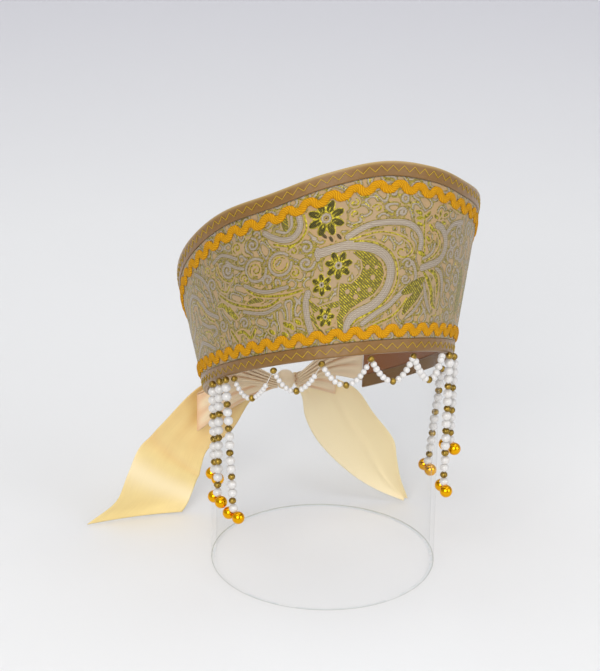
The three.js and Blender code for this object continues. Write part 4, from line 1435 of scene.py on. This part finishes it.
def make_tails():
    """The two long tails, gathered at the knot and waved below, with a crease across the left one."""
    down, across = shares(TAIL_GRID)
    gather = np.exp(-down / GATHER_RUN) * np.sin(across * TAIL_GATHERS * math.pi)
    gather = gather * np.minimum(1, down / GATHER_START)

    left = ribbon_grid(LEFT_TAIL, *TAIL_GRID, TAIL_BULGE)
    billow = np.sin(down * 8.5 + across * 2.2 - 1.4) * down * np.clip((1 - down) * 6, 0.15, 1)
    crease = bell(down, 0.5 + 0.12 * across, 0.035)
    left[..., 1] += GATHER_DEPTH * gather + LEFT_BILLOW * billow - LEFT_CREASE * crease
    # Painted shade: the top part of the left tail deeper in colour as it turns from the light, with
    # painted shade in the gathers and along the crease
    upper_painted_shade = np.clip((0.62 - down) / 0.3, 0, 1) * (0.3 + 0.25 * across)
    painted_shade = np.clip(gather + upper_painted_shade + 0.3 * crease, 0, 1)
    # Painted highlight: a paler band slanting across the lower part of the left tail
    light = 0.75 * bell(down, 0.68 + 0.14 * across, 0.07)
    left_tail = make_ribbon("satin_tail_left", left, "ribbon_tail_left", "ribbon_satin", painted_shade, light)

    right = ribbon_grid(RIGHT_TAIL, *TAIL_GRID, TAIL_BULGE)
    billow = np.sin(down * 8 + across * 3) * down * (1 - down)
    ridge = bell(across, 0.3 + 0.25 * down, 0.07) * np.clip(down * 3, 0, 1) * np.clip((1 - down) * 4, 0, 1)
    right[..., 1] += GATHER_DEPTH * gather + RIGHT_BILLOW * billow - RIGHT_RIDGE * ridge
    # The right tail gets painted shade in its gathers and a painted highlight over all of it, stronger
    # towards one edge
    right_tail = make_ribbon("satin_tail_right", right, "ribbon_tail_right", "ribbon_satin",
                             np.clip(gather, 0, 1), 0.5 + 0.4 * across)


def make_straps():
    """The ribbon sewn along each end of the band and gathered in to the knot."""
    down, across = shares(STRAP_GRID)
    pleat = np.sin(across * STRAP_PLEATS * math.pi + 2.5 * down) * np.sin(across * math.pi)
    # Painted shade in the valleys of the pleats, weaker near the band's end
    painted_shade = np.clip(1.3 * pleat - 0.1, 0, 1) * np.clip(down * 3 + 0.2, 0, 1)
    for name, node, side in (("satin_strap_left", "tie_strap_left", -1),
                             ("satin_strap_right", "tie_strap_right", 1)):
        end = side * (BAND_END + STRAP_END_GAP)
        hem = [(seated(on_band(end, height, -SANDWICH / 2)) - AXIS) / MM for height in reversed(STRAP_HEM)]
        middle, root = [[(side * x, y, z) for x, y, z in row] for row in (STRAP_MIDDLE, STRAP_ROOT)]
        grid = ribbon_grid([hem, middle, root], *STRAP_GRID, 0)
        grid[..., 1] += STRAP_PLEAT_DEPTH * pleat * np.clip(down * 5, 0, 1) * (1 - 0.3 * down)
        made = make_ribbon(name, grid, node, "bow_satin", painted_shade)


def make_loops():
    """The two loops of the bow, each a ribbon that goes out, turns and comes back."""
    down, across = shares(LOOP_GRID)
    across = 1 - 2 * across
    out = np.sin(math.pi * down)
    crease = np.sin(across * 7 + down * 5) * (1 - out) ** 0.5
    # Painted shade in the creases near the knot and at the far end of the loop, where it turns back
    painted_shade = np.clip(1.4 * crease - 0.1 + out ** 12, 0, 1)
    layer = np.tanh((down - 0.5) * 14) * (1.6 + np.sin(math.pi * out))
    for name, side, reach, drop, wide, curl in LOOPS:
        length = KNOT_HALF[0] + (LOOP_ROOT_GAP + reach * out) * MM
        bent = curl * length ** 2 / (2 * KNOT_MIDDLE[1])
        depth = KNOT_MIDDLE[1] + (LOOP_ROOT_GAP + layer + LOOP_CREASE * crease) * MM - bent
        half = (LOOP_ROOT_HALF + (wide / 2 - LOOP_ROOT_HALF) * out) * MM
        height = KNOT_MIDDLE[2] - (1 + drop * out ** 2) * MM + across * half
        grid = np.stack(np.broadcast_arrays(side * length, depth, height), -1) + AXIS
        made = make_ribbon("satin_" + name, grid, name, "bow_satin", painted_shade)


def make_knot():
    """The knot: a wrapped ribbon, drawn in at its middle folds."""
    rings, turns = KNOT_GRID
    angle = np.linspace(0, 2 * math.pi, turns, endpoint=False)[None, :]
    height = np.linspace(-math.pi / 2 + 0.02, math.pi / 2 - 0.02, rings)[:, None]
    folds = 1 - 0.05 * (0.5 + 0.5 * np.sin(height * 9 + 0.6 * np.sin(angle)))
    rounded = np.cos(height) ** 0.75
    points = np.stack((rounded * np.cos(angle) * folds * KNOT_HALF[0],
                       rounded * np.sin(angle) * folds * KNOT_HALF[1],
                       np.broadcast_to(np.sin(height) * KNOT_HALF[2], (rings, turns))), -1)
    made = make_object("satin_knot", (points + KNOT_MIDDLE + AXIS).reshape(-1, 3),
                       capped_tube(rings, turns), finish("bow_satin"),
                       flat=both_flat(angle * KNOT_HALF[0], height * KNOT_HALF[2]))
    dress(made, "ribbon_satin", "bow_knot")


def make_stand(sizes):
    """The clear tube, turned round its axis, with softened rims."""
    inner = TUBE_OUTER - sizes.tube_wall
    near, far = inner + TUBE_SOFT, TUBE_OUTER - TUBE_SOFT
    low, high = TUBE_SOFT, TUBE_HIGH - TUBE_SOFT
    corners = ((near, low, 180), (far, low, 270), (far, high, 0), (near, high, 90))
    profile = []
    for radius, height, start in corners:
        for turn in np.radians(np.linspace(start, start + 90, 5)):
            profile.append((radius + TUBE_SOFT * math.cos(turn), height + TUBE_SOFT * math.sin(turn)))
    profile = np.array(profile)
    angle = np.linspace(0, 2 * math.pi, TUBE_STEPS, endpoint=False)[:, None]
    points = np.stack(np.broadcast_arrays(profile[:, 0] * np.cos(angle), profile[:, 0] * np.sin(angle),
                                          profile[:, 1]), -1)
    rows, columns = points.shape[:2]
    faces = (np.array(grid_faces(rows + 1, columns, around=True)) % (rows * columns)).tolist()
    made = make_object("clear_tube", points.reshape(-1, 3) + AXIS, faces, finish("clear_acrylic"))
    dress(made, "clear_acrylic", "stand_tube")


def make_paper():
    """The round paper floor, which bends up far out on every side."""
    bend = np.linspace(0, math.pi / 2, 16)[1:]
    flat_run = np.linspace(FLOOR_HOLE, FLOOR_REACH, FLOOR_STEPS)
    run = np.concatenate((flat_run, FLOOR_REACH + FLOOR_BEND * np.sin(bend)))
    rise = np.concatenate((np.zeros(FLOOR_STEPS), FLOOR_BEND * (1 - np.cos(bend))))
    run = np.append(run, run[-1])
    rise = np.append(rise, FLOOR_TOP)
    angle = np.linspace(0, 2 * math.pi, FLOOR_SIDES, endpoint=False)
    grid = np.stack(np.broadcast_arrays(run[:, None] * np.cos(angle), run[:, None] * np.sin(angle),
                                        rise[:, None]), -1)
    faces = grid_faces(len(run), FLOOR_SIDES, around=True) + [list(range(FLOOR_SIDES))]
    paper = make_object("paper_floor", grid.reshape(-1, 3), faces, finish("studio_paper"))
    if paper.data.polygons[-1].normal.z < 0:
        paper.data.flip_normals()


def make_lamps():
    """Three soft lamps that the camera doesn't see, and the air's even light."""
    for name, place, width, power, tint in LAMPS:
        data = bpy.data.lights.new(name, "AREA")
        data.shape = "SQUARE"
        data.size = width
        data.energy = power
        data.color = tint
        lamp = bpy.data.objects.new(name, data)
        lamp.location = place
        lamp.visible_camera = False
        lamp.rotation_euler = (LAMP_TARGET - lamp.location).to_track_quat("-Z", "Y").to_euler()
        bpy.context.scene.collection.objects.link(lamp)
    world = bpy.data.worlds.new("studio_air")
    world.use_nodes = True
    air = world.node_tree.nodes["Background"]
    air.inputs["Color"].default_value = AIR_COLOUR
    air.inputs["Strength"].default_value = AIR_STRENGTH
    bpy.context.scene.world = world
    bpy.context.scene.view_settings.view_transform = "Standard"


def make_camera():
    """The camera at the photograph's place, aimed and rolled as it was."""
    ahead = CAMERA_TARGET - CAMERA_PLACE
    ahead /= np.linalg.norm(ahead)
    right = np.cross(ahead, (0, 0, 1))
    right /= np.linalg.norm(right)
    up = np.cross(right, ahead)
    rolled_right = right * math.cos(CAMERA_ROLL) + up * math.sin(CAMERA_ROLL)
    rolled_up = up * math.cos(CAMERA_ROLL) - right * math.sin(CAMERA_ROLL)
    data = bpy.data.cameras.new("photo_camera")
    data.sensor_fit = "VERTICAL"
    data.sensor_height = CAMERA_SENSOR
    data.lens = CAMERA_LENS
    camera = bpy.data.objects.new("photo_camera", data)
    turn = Matrix(np.stack((rolled_right, rolled_up, -ahead), axis=1).tolist()).to_4x4()
    camera.matrix_world = Matrix.Translation(Vector(CAMERA_PLACE + AXIS)) @ turn
    bpy.context.scene.collection.objects.link(camera)
    bpy.context.scene.camera = camera


class KOKOSHNIK_OT_stage(bpy.types.Operator):
    """Set up the paper floor, the lamps and the camera"""

    bl_idname = "kokoshnik.stage"
    bl_label = "Studio stage"

    def execute(self, context):
        make_paper()
        make_lamps()
        make_camera()
        return {"FINISHED"}


class KOKOSHNIK_OT_band(bpy.types.Operator):
    """Make the brocade band and its satin lining"""

    bl_idname = "kokoshnik.band"
    bl_label = "Brocade band and lining"

    def execute(self, context):
        sizes = context.scene.kokoshnik_sizes
        dress(make_brocade_band(sizes), "brocade", "front_band")
        dress(make_lining(), "lining_satin", "band_lining")
        return {"FINISHED"}


class KOKOSHNIK_OT_bindings(bpy.types.Operator):
    """Make the satin bindings and their zigzag stitches"""

    bl_idname = "kokoshnik.bindings"
    bl_label = "Bindings and stitches"

    def execute(self, context):
        sizes = context.scene.kokoshnik_sizes
        tree = zigzag_tree()
        make_binding("top_satin_binding", "top_binding", band_height, 1, TOP_BINDING, sizes)
        make_binding("bottom_satin_binding", "bottom_binding", np.zeros_like, -1, BOTTOM_BINDING, sizes)
        make_zigzag("top_zigzag", band_height, 1, TOP_STITCH_INSET, sizes, tree)
        make_zigzag("bottom_zigzag", np.zeros_like, -1, BOTTOM_STITCH_INSET, sizes, tree)
        return {"FINISHED"}


class KOKOSHNIK_OT_braids(bpy.types.Operator):
    """Make the two waved braids"""

    bl_idname = "kokoshnik.braids"
    bl_label = "Waved braids"

    def execute(self, context):
        sizes = context.scene.kokoshnik_sizes
        make_braid("upper_braid", "upper_ric_rac", lambda a: band_height(a) - UPPER_BRAID_DROP, sizes)
        make_braid("lower_braid", "lower_ric_rac", lambda a: 0 * a + LOWER_BRAID_RISE, sizes)
        return {"FINISHED"}


class KOKOSHNIK_OT_beads(bpy.types.Operator):
    """Make the bead fringe and the hanging bead strings"""

    bl_idname = "kokoshnik.beads"
    bl_label = "Fringe and bead strings"

    def execute(self, context):
        sizes = context.scene.kokoshnik_sizes
        tree = bead_tree()
        chance = np.random.default_rng(BEAD_SEED)
        make_beads("bead_fringe", "scallop_fringe", *fringe_beads(chance), sizes, tree)
        for name, angle, first, groups, lean_x, lean_y, pair in STRINGS:
            beads, links = hanging_string(angle, first, groups, lean_x, lean_y, pair, chance)
            make_beads("beads_" + name.removeprefix("bead_string_"), name, beads, links, sizes, tree)
        return {"FINISHED"}


class KOKOSHNIK_OT_bow(bpy.types.Operator):
    """Make the ribbon straps, the bow and its tails"""

    bl_idname = "kokoshnik.bow"
    bl_label = "Ribbon bow"

    def execute(self, context):
        make_knot()
        make_straps()
        make_loops()
        make_tails()
        return {"FINISHED"}


class KOKOSHNIK_OT_stand(bpy.types.Operator):
    """Make the clear tube stand"""

    bl_idname = "kokoshnik.stand"
    bl_label = "Clear tube stand"

    def execute(self, context):
        make_stand(context.scene.kokoshnik_sizes)
        return {"FINISHED"}


OPERATORS = (KOKOSHNIK_OT_stage, KOKOSHNIK_OT_band, KOKOSHNIK_OT_bindings, KOKOSHNIK_OT_braids,
             KOKOSHNIK_OT_beads, KOKOSHNIK_OT_bow, KOKOSHNIK_OT_stand)


class KOKOSHNIK_PT_panel(bpy.types.Panel):
    """Lists the pieces of the headdress, with its sizes and colours"""

    bl_label = "Kokoshnik headdress"
    bl_idname = "KOKOSHNIK_PT_panel"
    bl_space_type = "VIEW_3D"
    bl_region_type = "UI"
    bl_category = "Kokoshnik"

    def draw(self, context):
        for operator in OPERATORS:
            self.layout.operator(operator.bl_idname)
        for group in (context.scene.kokoshnik_sizes, context.scene.kokoshnik_colours):
            column = self.layout.column()
            for name in group.__annotations__:
                column.prop(group, name)


CLASSES = (KokoshnikSizes, KokoshnikColours, *OPERATORS, KOKOSHNIK_PT_panel)


def register():
    """Adds the classes and the scene's settings."""
    for cls in CLASSES:
        bpy.utils.register_class(cls)
    bpy.types.Scene.kokoshnik_sizes = PointerProperty(type=KokoshnikSizes)
    bpy.types.Scene.kokoshnik_colours = PointerProperty(type=KokoshnikColours)


def unregister():
    """Takes away what register adds."""
    del bpy.types.Scene.kokoshnik_colours
    del bpy.types.Scene.kokoshnik_sizes
    for cls in reversed(CLASSES):
        bpy.utils.unregister_class(cls)


def main():
    """Builds the whole scene."""
    register()
    for operator in OPERATORS:
        getattr(bpy.ops.kokoshnik, operator.bl_idname.split(".")[1])()


if __name__ == "__main__":
    main()
